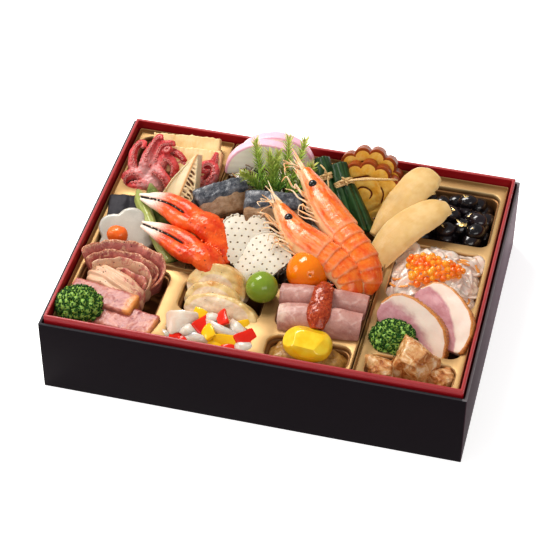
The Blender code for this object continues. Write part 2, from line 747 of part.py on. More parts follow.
def fill_centre_pocket():
    bed = heap(CENTRE_POCKET, 42.0, 48.0, 2.0, 12.0)
    mound = lump((27, 24, 15), stance((-28, 62, 46)), 4.0, 0.12)
    add_joined("sardine_heap", [bed, mound], "sardine")
    add_piece(
        "kamaboko_back", slab(half_moon(27, 25), 7, stance((-29, 82, 54.5), 9, 4), 1.0), "kamaboko"
    )
    add_piece(
        "kamaboko_front", slab(half_moon(27, 25), 7, stance((-34, 73.5, 54), 9, 4), 1.0), "kamaboko"
    )
    add_piece(
        "datemaki_back",
        slab(scalloped(24, 12, 3), 12, stance((35.5, 80, 55), 3, 28)),
        "egg_roll",
    )
    add_piece(
        "datemaki_front",
        slab(scalloped(24, 12, 3), 12, stance((37.5, 66, 55), 3, 28, 15)),
        "egg_roll",
    )
    parcel = ((4, 7, 5.5, 8, 9, 7), (3, 5, 4.5, 6, 6, 4))
    add_piece(
        "leaf_parcel_left",
        loft(((5, 73, 74), (9, 66, 70), (13, 58, 66), (19, 47, 60), (24, 38, 53)), *parcel),
        "leaf",
    )
    add_piece(
        "leaf_parcel_right",
        loft(((17.5, 69, 75), (21, 62, 71), (26, 54, 67), (34, 42, 60), (42, 31, 52)), *parcel),
        "leaf",
    )
    add_piece(
        "herring_roe_back",
        loft(
            ((50, 30, 53), (57, 43, 60), (66, 60, 65), (74, 75, 68), (79, 82, 68)),
            (3, 8, 11.5, 11, 5), (3, 5, 6, 6, 3),
        ),
        "roe_sac",
    )
    add_piece(
        "herring_roe_front",
        loft(
            ((58, 3, 52), (63, 18, 59), (73, 35, 63), (86, 48, 66), (94, 54, 66)),
            (5, 11.5, 12.5, 10.5, 5), (3, 5.5, 6.5, 6, 3),
        ),
        "roe_sac",
    )
    add_piece(
        "fish_left",
        block((37, 20, 27), stance((-52.5, 31, 57.5), 39, 72), 3.0, 8),
        "fish",
    )
    add_piece(
        "fish_right",
        block((38, 22, 27), stance((-17, 27, 59), 7, 70), 3.0, -8),
        "fish",
    )
    sprigs = []
    tips = (
        (-38, 64, 88), (-27, 56, 86), (-21, 58, 86), (-17, 71, 89),
        (-6, 71, 89), (-42, 45, 78), (6, 60, 80),
    )
    for tip in tips:
        base = Vector((-20 + (tip[0] + 20) * 0.25, 42.5, 60))
        middle = base * 0.5 + Vector(tip) * 0.5 + Vector((0, 0, 2))
        sprigs.append(tube((base, middle, tip), (1.8, 2.6, 0.9), 1, 4))
    sprigs.append(lump((12, 4, 6), stance((-20, 42.5, 59)), detail=1))
    add_joined("sprigs", sprigs, "sprig")
    heart = [
        *arc(-7, 9.5, 8, 9, 160, 60, 4), (0, 12.5), *arc(7, 9.5, 8, 9, 120, 10, 4),
        (14.5, -4), (8, -17), (0, -23.5), (-8.5, -16.5), (-14.5, -3),
    ]
    add_piece("squid_back", slab(heart, 12, stance((-27.5, -6, 60), 18, 66, -8), 1.0), "squid")
    add_piece("squid_front", slab(heart, 12, stance((-12, -18, 58), -24, 66, -28), 1.0), "squid")
    crab_claw(
        "crab_claw_back",
        ((-33, -21, 55), (-42, -12, 61), (-52, -3, 66), (-64, 0, 67)), (6, 8.5, 10.5, 8.0),
        ((-63, 5, 69), (-84, 14, 69), (-105, 17, 66)), ((-68, -2, 66), (-84, 8, 66), (-104, 15.5, 64.5)),
    )
    crab_claw(
        "crab_claw_front",
        ((-38, -35, 55), (-46, -28, 61), (-58, -23, 63)), (7, 9.5, 7.5),
        ((-59, -19, 64), (-76, -11, 64), (-97, -4, 62)), ((-61, -26, 62), (-77, -17, 61), (-97, -6.5, 61)),
    )
    add_piece("tomato", lump((13.8, 13.8, 13.2), stance((17.9, -22.0, 60.5))), "tomato")
    shrimp(
        "shrimp_back",
        (
            (-1, 46, 84), (8, 35, 81), (16, 24, 78), (30, 9, 74), (42, -2, 71), (52, -11, 67),
            (57.5, -20, 60), (57, -25, 53),
        ),
        (0.8, 4.5, 7.5, 8, 7.5, 7, 6, 3), (0.8, 5.5, 10, 11, 10.5, 9.5, 8, 4),
        (8, 33, 86), (0.6, 0.75, 0.5),
    )
    shrimp(
        "shrimp_front",
        (
            (-10, 14, 78), (-2, 5, 75), (6, -3, 72), (20, -11, 70), (33, -17, 67), (43, -23, 63),
            (47, -29, 57), (45, -33, 51),
        ),
        (0.8, 4.5, 7.5, 8, 7.5, 7, 6, 3), (0.8, 5.5, 10, 11, 10.5, 9.5, 8, 4),
        (-1, 4, 80), (0.6, 0.75, 0.5),
    )


def fill_right_pockets():
    add_piece("black_beans", heap(BEANS_POCKET, 43.0, 51.0, 4.0, 2.0), "bean")
    add_piece("salad_heap", heap(SALAD_POCKET, 45.0, 60.0, 4.0, 7.0), "salad")
    add_piece(
        "salmon_roe", lump((15.5, 11.5, 6.5), stance((94, -1.5, 60.5)), 8.0, 0.3, 1.6), "salmon_roe"
    )
    slice_outline = [
        (28, -6), (26.5, 0), (22.5, 7.5), (16, 13.5), (8, 16.5), (-2, 17.5), (-12, 17), (-20, 14.5),
        (-25, 10), (-27.5, 3), *arc(0, -3, 27, 9, 190, 350, 6),
    ]
    add_piece(
        "duck_back", slab(slice_outline, 7, stance((109.5, -39, 55), -38, 58, -10), 1.5), "duck"
    )
    add_piece(
        "duck_front", slab(slice_outline, 10, stance((93, -50, 52), -19, 46, -14), 1.5), "duck"
    )
    broccoli("broccoli_right", (81.5, -60, 52), (15.5, 12.5, 12), 11.0)
    meats = (
        ("meat_left", (11, 9.5, 10), (78.5, -81, 44), 10, 3.0),
        ("meat_right", (9.5, 9, 9), (116, -79, 44), -20, 8.0),
        ("meat_middle", (14, 12, 14), (97.5, -74.5, 50.5), 30, 5.0),
    )
    for name, size, at, yaw, seed in meats:
        add_piece(name, lump(size, stance(at, yaw), seed, 0.35, 1.3), "glazed_meat")


# Where pieces press on each other, the lower one gives way.


def evaluated_mesh(obj):
    graph = bpy.context.evaluated_depsgraph_get()
    return bpy.data.meshes.new_from_object(obj.evaluated_get(graph))


def grown(mesh, by):
    """A cutter: this mesh with its surface moved out."""
    bm = bmesh.new()
    bm.from_mesh(mesh)
    bm.normal_update()
    moves = [(v, v.normal * by * MM * min(v.calc_shell_factor(), 1.8)) for v in bm.verts]
    for vert, move in moves:
        vert.co += move
    made = bpy.data.meshes.new("grown")
    bm.to_mesh(made)
    bm.free()
    cutter = bpy.data.objects.new("cutter", made)
    cutter.display_type = "WIRE"
    cutter.hide_render = True
    CUTTERS.objects.link(cutter)
    return cutter


def mesh_tree(mesh):
    bm = bmesh.new()
    bm.from_mesh(mesh)
    tree = BVHTree.FromBMesh(bm)
    bm.free()
    return tree


def keep_largest(mesh):
    """Drops every loose body but the one with the most volume, and welds slivers."""
    bm = bmesh.new()
    bm.from_mesh(mesh)
    bmesh.ops.remove_doubles(bm, verts=bm.verts[:], dist=WELD)
    bmesh.ops.dissolve_degenerate(bm, edges=bm.edges[:], dist=WELD)
    bmesh.ops.dissolve_limit(
        bm, angle_limit=FLAT_ANGLE, verts=bm.verts[:], edges=bm.edges[:]
    )
    left = set(bm.faces)
    bodies = []
    while left:
        body, front = set(), [left.pop()]
        while front:
            face = front.pop()
            body.add(face)
            for edge in face.edges:
                for other in edge.link_faces:
                    if other in left:
                        left.discard(other)
                        front.append(other)
        bodies.append(body)
    if len(bodies) > 1:
        def volume(body):
            total = 0.0
            for face in body:
                first, *rest = (v.co for v in face.verts)
                total += sum(first.dot(a.cross(b)) for a, b in zip(rest, rest[1:]))
            return abs(total)
        best = max(bodies, key=volume)
        loose = [f for body in bodies if body is not best for f in body]
        bmesh.ops.delete(bm, geom=loose, context="FACES")
    bm.to_mesh(mesh)
    bm.free()


def closed_volume(mesh):
    """The volume that a mesh holds, or zero where it isn't closed."""
    bm = bmesh.new()
    bm.from_mesh(mesh)
    whole = all(len(edge.link_faces) == 2 for edge in bm.edges)
    volume = bm.calc_volume() if whole and bm.faces else 0.0
    bm.free()
    return volume


def cut_mesh(lower, cutter, solver):
    cut = lower.modifiers.new("seat", "BOOLEAN")
    cut.operation = "DIFFERENCE"
    cut.solver = solver
    cut.object = cutter
    graph = bpy.context.evaluated_depsgraph_get()
    mesh = bpy.data.meshes.new_from_object(lower.evaluated_get(graph))
    lower.modifiers.clear()
    keep_largest(mesh)
    return mesh


def seat(lower, pressing):
    """Cuts one pressing body, grown by the clearance, out of a piece.

    MANIFOLD takes over where EXACT leaves the piece open or still touching, and then the
    clearance grows.
    """
    surface = mesh_tree(pressing)
    for by in WIDER_GAPS:
        cutter = grown(pressing, by)
        if not mesh_tree(lower.data).overlap(mesh_tree(cutter.data)):
            bpy.data.objects.remove(cutter, do_unlink=True)
            return
        whole = closed_volume(lower.data)
        least = max(whole - closed_volume(cutter.data), LEAST_LEFT * whole)
        for solver in ("EXACT", "MANIFOLD"):
            mesh = cut_mesh(lower, cutter, solver)
            sound = least * 0.98 <= closed_volume(mesh) <= whole * 1.001
            if sound and not mesh_tree(mesh).overlap(surface):
                lower.data = mesh
                bpy.data.objects.remove(cutter, do_unlink=True)
                return
        bpy.data.objects.remove(cutter, do_unlink=True)
    raise RuntimeError(f"{lower.name} can't be seated under {pressing.name}")


def main():
    make_box()
    make_trays()
    vessels = list(MEAL.objects)
    fill_octopus_pocket()
    fill_simmered_pocket()
    fill_pastrami_pocket()
    fill_chicken_pocket()
    fill_ham_pocket()
    fill_centre_pocket()
    fill_right_pockets()
    foods = [obj for obj in MEAL.objects if obj not in vessels]
    walls = [evaluated_mesh(vessel) for vessel in vessels]
    for i, food in enumerate(foods):
        for wall in walls:
            seat(food, wall)
        for above in foods[i + 1 :]:
            for body in PARTS.get(above.name, [above.data]):
                seat(food, body)


main()
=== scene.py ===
"""A New Year bento in its black box: scene, finishes and every piece of food.

Lengths are millimetres and turned into metres by MM. Each piece is modelled in its own frame, keeps
that frame as the vertex attribute OWN for its finish, and is then laid where its CAD solid is.
"""
import math
import random

import bmesh
import bpy
import numpy as np
from mathutils import Matrix, Vector, noise


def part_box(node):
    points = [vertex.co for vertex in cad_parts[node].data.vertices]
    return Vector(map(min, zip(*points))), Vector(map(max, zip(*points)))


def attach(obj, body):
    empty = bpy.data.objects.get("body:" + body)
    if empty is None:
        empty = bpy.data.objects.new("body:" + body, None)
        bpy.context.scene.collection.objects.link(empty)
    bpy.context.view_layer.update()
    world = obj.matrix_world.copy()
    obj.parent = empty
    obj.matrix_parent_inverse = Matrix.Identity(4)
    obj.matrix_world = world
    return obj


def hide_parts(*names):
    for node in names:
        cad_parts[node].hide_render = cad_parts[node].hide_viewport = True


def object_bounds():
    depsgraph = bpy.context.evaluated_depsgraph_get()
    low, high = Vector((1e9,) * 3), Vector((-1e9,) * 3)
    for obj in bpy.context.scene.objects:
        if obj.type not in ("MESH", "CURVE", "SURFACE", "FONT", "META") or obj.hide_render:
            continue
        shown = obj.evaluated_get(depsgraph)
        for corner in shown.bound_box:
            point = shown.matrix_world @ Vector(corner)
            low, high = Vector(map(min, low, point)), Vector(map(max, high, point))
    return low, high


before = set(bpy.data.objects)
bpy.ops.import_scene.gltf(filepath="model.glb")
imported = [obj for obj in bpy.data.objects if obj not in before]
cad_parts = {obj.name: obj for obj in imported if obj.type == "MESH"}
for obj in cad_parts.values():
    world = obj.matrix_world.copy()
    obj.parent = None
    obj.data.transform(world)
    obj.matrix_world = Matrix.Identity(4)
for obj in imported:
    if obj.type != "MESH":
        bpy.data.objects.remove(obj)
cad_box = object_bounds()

MM = 0.001
BODY = "root"
OWN = "own"  # the vertex attribute with a piece's own coordinates, in metres
TINT = "tint"  # the vertex attributes with painted masks
EDGE = "edge"
LOOKS = ("Base Color", "Roughness", "Normal", "Emission Color", "Metallic")
SHEEN = 0.28  # how much plain surfaces mirror; the wet ones have a coat as well


# Finishes.


class Wire:
    """A node's output in a material, for writing shader maths as expressions."""

    def __init__(self, tree, socket):
        self.tree = tree
        self.socket = socket

    def node(self, kind, settings=(), values=(), out=0):
        """Adds a node, makes its settings, feeds its sockets and returns one output."""
        made = self.tree.nodes.new(kind)
        for key, value in dict(settings).items():
            if key == "stops":
                elements = made.color_ramp.elements
                while len(elements) < len(value):
                    elements.new(0.5)
                for element, (place, colour) in zip(elements, value):
                    element.position = place
                    element.color = (*colour, 1.0)
            else:
                setattr(made, key, value)
        for key, value in dict(values).items():
            socket = made.inputs[key]
            if isinstance(value, Wire):
                self.tree.links.new(value.socket, socket)
            elif socket.type == "RGBA":
                socket.default_value = (*value, 1.0)
            else:
                socket.default_value = value
        return Wire(self.tree, made.outputs[out])

    def maths(self, operation, first, second=0.0):
        return self.node("ShaderNodeMath", {"operation": operation}, {0: first, 1: second})

    def __add__(self, other):
        return self.maths("ADD", self, other)

    def __sub__(self, other):
        return self.maths("SUBTRACT", self, other)

    def __mul__(self, other):
        return self.maths("MULTIPLY", self, other)

    def __truediv__(self, other):
        return self.maths("DIVIDE", self, other)

    def __rsub__(self, other):
        return self.maths("SUBTRACT", other, self)

    def __pow__(self, other):
        return self.maths("POWER", self, other)

    __radd__ = __add__
    __rmul__ = __mul__

    def size(self):
        return self.maths("ABSOLUTE", self)

    def step(self, low, high):
        """A smooth step from 0 at low to 1 at high."""
        settings = {"interpolation_type": "SMOOTHSTEP"}
        values = {0: self, 1: low, 2: high}
        if low > high:
            return 1 - self.node("ShaderNodeMapRange", settings, {0: self, 1: high, 2: low})
        return self.node("ShaderNodeMapRange", settings, values)

    def mixed(self, first, second):
        """A colour mixed by this mask from first to second."""
        settings = {"data_type": "RGBA"}
        return self.node("ShaderNodeMix", settings, {0: self, 6: first, 7: second}, 2)

    def ramp(self, *stops):
        return self.node("ShaderNodeValToRGB", {"stops": stops}, {0: self})

    def part(self, axis):
        """One coordinate of a vector, in millimetres."""
        return self.node("ShaderNodeSeparateXYZ", (), {0: self}, axis) * (1 / MM)

    def moved(self, at=(0, 0, 0), turn=(0, 0, 0), size=(1, 1, 1)):
        values = {1: [v * MM for v in at], 2: [math.radians(a) for a in turn], 3: size}
        return self.node("ShaderNodeMapping", (), {0: self, **values})

    def noise(self, grain, detail=2.0, rough=0.5, warp=0.0):
        """Noise whose lumps are about this many millimetres across."""
        values = {
            "Vector": self, "Scale": 1 / (grain * MM), "Detail": detail,
            "Roughness": rough, "Distortion": warp,
        }
        return self.node("ShaderNodeTexNoise", (), values)

    def cells(self, grain, feature="F1"):
        """Voronoi cells about this many millimetres across."""
        values = {"Vector": self, "Scale": 1 / (grain * MM)}
        return self.node("ShaderNodeTexVoronoi", {"feature": feature}, values, "Distance")

    def warped(self, grain, by):
        """A vector pushed about by noise."""
        values = {"Vector": self, "Scale": 1 / (grain * MM)}
        push = self.node("ShaderNodeTexNoise", (), values, "Color")
        centred = self.node("ShaderNodeVectorMath", {"operation": "SUBTRACT"}, {0: push, 1: [0.5] * 3})
        scaled = self.node("ShaderNodeVectorMath", {"operation": "SCALE"}, {0: centred, "Scale": by * MM})
        return self.node("ShaderNodeVectorMath", {"operation": "ADD"}, {0: self, 1: scaled})

    def bump(self, depth, strength=1.0):
        """A normal from this height, where 1 stands this many millimetres proud."""
        values = {"Height": self, "Distance": depth * MM, "Strength": strength}
        return self.node("ShaderNodeBump", (), values)


def finish(name, paint, coat=None, **constants):
    """A Principled finish: paint(own, tint, edge) gives the LOOKS, constants what doesn't vary."""
    made = bpy.data.materials.new(name)
    made.use_nodes = True
    shader = made.node_tree.nodes["Principled BSDF"]
    shader.inputs["Specular IOR Level"].default_value = SHEEN
    start = Wire(made.node_tree, None)
    own = start.node("ShaderNodeAttribute", {"attribute_name": OWN}, (), "Vector")
    tint = start.node("ShaderNodeAttribute", {"attribute_name": TINT}, (), "Fac")
    edge = start.node("ShaderNodeAttribute", {"attribute_name": EDGE}, (), "Fac")
    for key, value in zip(LOOKS, paint(own, tint, edge)):
        if value is None:
            continue
        socket = shader.inputs[key]
        if isinstance(value, Wire):
            made.node_tree.links.new(value.socket, socket)
        else:
            socket.default_value = value
    if coat:
        constants.update(Coat_Weight=coat[0], Coat_Roughness=coat[1])
    for key, value in constants.items():
        shader.inputs[key.replace("_", " ")].default_value = value
    return made


def flesh(weight, radius, reach):
    """The constants of light that soaks in: how much, in which colours and how many mm deep."""
    return {"Subsurface_Weight": weight, "Subsurface_Radius": radius, "Subsurface_Scale": reach * MM}


# Modelling tools.


def primitive(kind, name, **how):
    bpy.ops.object.select_all(action="DESELECT")
    getattr(bpy.ops.mesh, f"primitive_{kind}_add")(**how)
    obj = bpy.context.object
    obj.name = name
    obj.data.name = name
    return obj


def alone(obj):
    """Makes a piece the only one selected and the active one."""
    bpy.ops.object.select_all(action="DESELECT")
    obj.select_set(True)
    bpy.context.view_layer.objects.active = obj


def modify(obj, kind, **settings):
    """Adds a modifier and applies it."""
    step = obj.modifiers.new(kind.lower(), kind)
    for key, value in settings.items():
        setattr(step, key, value)
    alone(obj)
    bpy.ops.object.modifier_apply(modifier=step.name)
    return obj


def edit(obj, *steps):
    """Runs edit-mode steps, each an operator and its settings, on the whole piece."""
    alone(obj)
    bpy.ops.object.mode_set(mode="EDIT")
    bpy.ops.mesh.select_all(action="SELECT")
    for operator, settings in steps:
        operator(**settings)
    bpy.ops.object.mode_set(mode="OBJECT")
    return obj


def points_of(obj):
    """The vertices of a mesh in millimetres, as an array."""
    flat = np.empty(len(obj.data.vertices) * 3)
    obj.data.vertices.foreach_get("co", flat)
    return flat.reshape(-1, 3) / MM


def set_points(obj, points):
    obj.data.vertices.foreach_set("co", (np.asarray(points) * MM).ravel())
    obj.data.update()


def normals_of(obj):
    flat = np.empty(len(obj.data.vertices) * 3, np.float32)
    obj.data.vertex_normals.foreach_get("vector", flat)
    return flat.reshape(-1, 3).astype(float)


def lumps(points, grain, seed=0.0):
    """Smooth noise from -1 to 1 at each point, its lumps about grain millimetres across."""
    shift = Vector((seed * 7.1, -seed * 3.7, seed * 5.3))
    return np.array([noise.noise(Vector(p) / grain + shift) for p in points])


def carve(obj, depth):
    """Moves the surface out by depth(points, normals), in millimetres."""
    points, normals = points_of(obj), normals_of(obj)
    set_points(obj, points + normals * np.asarray(depth(points, normals))[:, None])
    return obj


def shape(obj, move):
    """Puts every vertex where move(points) says."""
    set_points(obj, move(points_of(obj)))
    return obj


def leaned(obj, start=80.0, give=0.4):
    """Leans what stands over a height back and down, so that it stays under the CAD's top."""

    def move(points):
        over = np.clip(points[:, 2] - start, 0, None) * give
        return points + np.outer(over, (-0.25, 1.0, -1.0))

    return shape(obj, move)


def keep_own(obj, points=None):
    """Stores the piece's own coordinates, or others given, for its finish."""
    points = points_of(obj) if points is None else points
    mesh = obj.data
    if OWN in mesh.attributes:
        mesh.attributes.remove(mesh.attributes[OWN])
    own = mesh.attributes.new(OWN, "FLOAT_VECTOR", "POINT")
    own.data.foreach_set("vector", (np.asarray(points) * MM).ravel())
    return obj


def tinted(obj, values, name=TINT):
    """Paints a mask on the vertices."""
    mesh = obj.data
    if name in mesh.attributes:
        mesh.attributes.remove(mesh.attributes[name])
    tint = mesh.attributes.new(name, "FLOAT", "POINT")
    tint.data.foreach_set("value", np.clip(values, 0.0, 1.0))
    return obj


def remeshed(obj, voxel, passes=4):
    """One even skin over everything in a piece, softened by this many passes."""
    modify(obj, "REMESH", mode="VOXEL", voxel_size=voxel * MM, use_smooth_shade=True)
    if passes:
        modify(obj, "SMOOTH", factor=0.5, iterations=passes)
    return obj


def slab(name, outline, thickness, voxel=0.6, passes=6):
    """A flat piece with soft edges from its outline, lying in its own XY plane."""
    obj = primitive("circle", name, vertices=len(outline), fill_type="NGON", radius=MM)
    set_points(obj, [(x, y, -thickness / 2) for x, y in outline])
    raise_by = {"TRANSFORM_OT_translate": {"value": (0, 0, thickness * MM)}}
    edit(
        obj,
        (bpy.ops.mesh.extrude_region_move, raise_by),
        (bpy.ops.mesh.select_all, {"action": "SELECT"}),
        (bpy.ops.mesh.normals_make_consistent, {"inside": False}),
    )
    return remeshed(obj, voxel, passes)


def threads(name, routes, radius, sides=6, ends=0.5, waist=0.7):
    """Thin strands along smooth routes, as one mesh, thinner from the waist to their ends."""
    curve = bpy.data.curves.new(name, "CURVE")
    curve.dimensions = "3D"
    curve.bevel_depth = MM
    curve.bevel_resolution = (sides - 4) // 2
    curve.use_fill_caps = True
    for route in routes:
        path = smooth_path(route, 4)
        spline = curve.splines.new("POLY")
        spline.points.add(len(path) - 1)
        taper = np.interp(np.linspace(0, 1, len(path)), (0, waist, 1), (1, 1, ends))
        for point, place_at, share in zip(spline.points, path, taper):
            point.co = (*(place_at * MM), 1.0)
            point.radius = radius * share
    obj = bpy.data.objects.new(name, curve)
    bpy.context.scene.collection.objects.link(obj)
    alone(obj)
    bpy.ops.object.convert(target="MESH")
    obj.data.name = name
    return edit(obj, (bpy.ops.mesh.remove_doubles, {"threshold": 0.005 * MM}))


def sown(name, seed, spots, tints=None):
    """Copies of one small piece at these 4 x 4 places in one mesh, each with a tint of its own."""
    corners = points_of(seed)
    faces = [tuple(face.vertices) for face in seed.data.polygons]
    grown_out = np.c_[corners, np.ones(len(corners))]
    points = np.concatenate([grown_out @ np.array(spot).T for spot in spots])[:, :3]
    count = len(corners)
    mesh = bpy.data.meshes.new(name)
    mesh.from_pydata(
        points * MM, [], [[v + k * count for v in face] for k in range(len(spots)) for face in faces]
    )
    obj = bpy.data.objects.new(name, mesh)
    bpy.context.scene.collection.objects.link(obj)
    keep_own(obj, np.tile(corners, (len(spots), 1)))
    tinted(obj, np.repeat(np.resize(tints if tints is not None else [0.5], len(spots)), count))
    bpy.data.objects.remove(seed)
    return obj


def thrown(rng, tries, gap, pick):
    """Places from pick(rng) that keep this far from each other."""
    kept = []
    for _ in range(tries):
        spot = Vector(pick(rng))
        if all((spot - other).length > gap for other in kept):
            kept.append(spot)
    return kept


def heading(at, out, spin=0.0, size=1.0):
    """A place whose own Z points along out, with this much spin and size."""
    turn = Vector(out).to_track_quat("Z", "Y").to_matrix().to_4x4()
    spun = Matrix.Rotation(math.radians(spin), 4, "Z")
    return Matrix.Translation(Vector(at)) @ turn @ spun @ Matrix.Scale(size, 4)


def chunk(name, size, square=0.6, detail=4):
    """A block with soft corners: square 1 is a round lump and 0 a box."""
    obj = ball(name, (1, 1, 1), detail)

    def squared(points):
        return np.sign(points) * np.abs(points) ** square * np.asarray(size, float)

    return shape(obj, squared)


def arc(cx, cy, rx, ry, start, end, count=12):
    turns = [math.radians(start + (end - start) * i / (count - 1)) for i in range(count)]
    return [(cx + rx * math.cos(a), cy + ry * math.sin(a)) for a in turns]


def stance(at, yaw=0.0, lean=90.0, roll=0.0):
    """Where a piece drawn flat in its own XY plane goes: lean 90 is flat, 0 stands up."""
    return (
        Matrix.Translation(Vector(at))
        @ Matrix.Rotation(math.radians(yaw), 4, "Z")
        @ Matrix.Rotation(math.radians(90.0 - lean), 4, "X")
        @ Matrix.Rotation(math.radians(roll), 4, "Z")
    )


def lay(obj, matrix):
    """Moves a finished piece's mesh to its place, in millimetres, after keeping its own frame."""
    if OWN not in obj.data.attributes:
        keep_own(obj)
    move = np.array(matrix)
    set_points(obj, points_of(obj) @ move[:3, :3].T + move[:3, 3])
    return obj


def smooth_path(points, steps=8):
    """A Catmull-Rom curve through the points, as an array."""
    points = np.asarray(points, float)
    padded = np.vstack((2 * points[0] - points[1], points, 2 * points[-1] - points[-2]))
    path = []
    for a, b, c, d in zip(padded, padded[1:], padded[2:], padded[3:]):
        for t in np.arange(steps) / steps:
            path.append(
                0.5 * (2 * b + (c - a) * t + (2 * a - 5 * b + 4 * c - d) * t**2
                       + (3 * b - a - 3 * c + d) * t**3)
            )
    return np.array([*path, points[-1]])


def spread(values, places):
    """Reads a short list of evenly spaced values at places from 0 to 1, smoothly."""
    curve = smooth_path([(v, 0, 0) for v in values], 16)[:, 0]
    return np.interp(places, np.linspace(0, 1, len(curve)), curve)


def bend(obj, route, widths, heights, up=(0, 0, 1)):
    """Lays a bar along a route. Its Z runs from 0 to 1 along it, X across it and Y along up."""
    path = smooth_path(route)
    steps = np.linalg.norm(np.diff(path, axis=0), axis=1)
    reach = np.concatenate(([0], np.cumsum(steps)))
    place = reach / reach[-1]
    along = np.gradient(path, axis=0)
    along /= np.linalg.norm(along, axis=1)[:, None]
    across = np.cross(along, np.asarray(up, float))
    across /= np.linalg.norm(across, axis=1)[:, None]
    rise = np.cross(across, along)
    points = points_of(obj)
    t = np.clip(points[:, 2], 0, 1)
    evenly = np.interp(t, place, np.linspace(0, 1, len(path)))

    def read(rows):
        return np.stack([np.interp(t, place, rows[:, k]) for k in range(3)], axis=1)

    x = points[:, 0] * spread(widths, evenly)
    y = points[:, 1] * spread(heights, evenly)
    own = np.stack((x, y, t * reach[-1]), axis=1)
    set_points(obj, read(path) + read(across) * x[:, None] + read(rise) * y[:, None])
    return keep_own(obj, own)


def bar(name, rings=48, sides=32):
    """A round bar of radius 1 mm and length 1 mm along its own Z, cut into rings."""
    obj = primitive(
        "cylinder", name, vertices=sides, radius=MM, depth=MM, end_fill_type="NGON",
        location=(0, 0, 0.5 * MM),
    )
    bm = bmesh.new()
    bm.from_mesh(obj.data)
    bmesh.ops.translate(bm, vec=obj.location, verts=bm.verts[:])
    sides_up = [e for e in bm.edges if abs(e.verts[0].co.z - e.verts[1].co.z) > 0.5 * MM]
    bmesh.ops.subdivide_edges(bm, edges=sides_up, cuts=rings - 1, use_grid_fill=True)
    bm.to_mesh(obj.data)
    bm.free()
    obj.location = (0, 0, 0)
    return obj


def ball(name, size, detail=5):
    """A round lump of these half sizes, its faces all nearly square."""
    obj = primitive("cube", name, size=2 * MM)
    edit(obj, (bpy.ops.mesh.subdivide, {"number_cuts": 2**detail - 1}))
    points = points_of(obj)
    points /= np.linalg.norm(points, axis=1)[:, None]
    set_points(obj, points * np.asarray(size, float))
    return obj


def merged(name, pieces):
    """Several objects as one."""
    bpy.ops.object.select_all(action="DESELECT")
    for piece in pieces:
        piece.select_set(True)
    bpy.context.view_layer.objects.active = pieces[0]
    if len(pieces) > 1:
        bpy.ops.object.join()
    pieces[0].name = name
    pieces[0].data.name = name
    return pieces[0]


def copied(node, name):
    """A mesh of its own with a CAD solid's shape, its loose triangles merged."""
    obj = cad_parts[node].copy()
    obj.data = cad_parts[node].data.copy()
    obj.parent = None
    for key in list(obj.keys()):
        del obj[key]
    obj.name = name
    obj.data.name = name
    obj.data.materials.clear()
    bpy.context.scene.collection.objects.link(obj)
    merge = (bpy.ops.mesh.remove_doubles, {"threshold": 0.01 * MM})
    return edit(obj, merge, (bpy.ops.mesh.normals_make_consistent, {}))


def place(obj, material, slot, *nodes, smooth=180.0):
    """Ends a piece: its finish, its shading, the body it rides on and what it stands for."""
    obj.data.materials.clear()
    for one in material if isinstance(material, (list, tuple)) else [material]:
        obj.data.materials.append(one)
    alone(obj)
    if smooth >= 180.0:
        bpy.ops.object.shade_smooth()
    else:
        bpy.ops.object.shade_smooth_by_angle(angle=math.radians(smooth))
    if OWN not in obj.data.attributes:
        keep_own(obj)
    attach(obj, BODY)
    if nodes:
        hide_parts(*nodes)
    return obj


def middle(node):
    """The middle of a CAD solid's box, in millimetres."""
    low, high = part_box(node)
    return (low + high) / (2 * MM)


def span(node):
    low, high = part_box(node)
    return (high - low) / MM


# Camera, light and floor.

CAMERA_AT = (216.7, -919.5, 925.2)  # from the middle of the box's underside
CAMERA_AZIMUTH = 13.58
CAMERA_ELEVATION = 43.499
CAMERA_ROLL = 0.378
CAMERA_LENS = 127.8
SENSOR = 36.0
FLOOR_HALF = 3000.0

# (name, place, aimed at, width, height, watts, colour)
LAMPS = (
    ("key_lamp", (-420, 380, 900), (0, 0, 40), 520, 400, 8.2, (1.0, 0.975, 0.94)),
    ("fill_lamp", (520, -780, 760), (0, 0, 30), 760, 420, 2.8, (1.0, 0.98, 0.95)),
    ("side_lamp", (-900, -300, 560), (0, 0, 30), 500, 400, 2.6, (1.0, 0.98, 0.95)),
)


def make_camera():
    low, high = cad_box
    foot = Vector(((low.x + high.x) / 2, (low.y + high.y) / 2, low.z))
    data = bpy.data.cameras.new("camera")
    data.sensor_width = SENSOR
    data.lens = CAMERA_LENS
    data.clip_start = 0.01
    camera = bpy.data.objects.new("camera", data)
    camera.matrix_world = (
        Matrix.Translation(foot + Vector(CAMERA_AT) * MM)
        @ Matrix.Rotation(math.radians(CAMERA_AZIMUTH), 4, "Z")
        @ Matrix.Rotation(math.radians(90 - CAMERA_ELEVATION), 4, "X")
        @ Matrix.Rotation(math.radians(CAMERA_ROLL), 4, "Z")
    )
    bpy.context.scene.collection.objects.link(camera)
    bpy.context.scene.camera = camera


def make_lamps():
    for name, at, aim, width, height, watts, colour in LAMPS:
        data = bpy.data.lights.new(name, "AREA")
        data.shape = "RECTANGLE"
        data.size = width * MM
        data.size_y = height * MM
        data.energy = watts
        data.color = colour
        lamp = bpy.data.objects.new(name, data)
        away = Vector(at) - Vector(aim)
        lamp.matrix_world = (
            Matrix.Translation(Vector(at) * MM) @ away.to_track_quat("Z", "Y").to_matrix().to_4x4()
        )
        bpy.context.scene.collection.objects.link(lamp)
    world = bpy.data.worlds.new("studio")
    bpy.context.scene.world = world
    world.use_nodes = True
    sky = world.node_tree.nodes["Background"]
    sky.inputs["Color"].default_value = (1.0, 1.0, 1.0, 1.0)
    sky.inputs["Strength"].default_value = 0.3
    bpy.context.scene.view_settings.view_transform = "Standard"
    bpy.context.scene.view_settings.look = "Medium High Contrast"


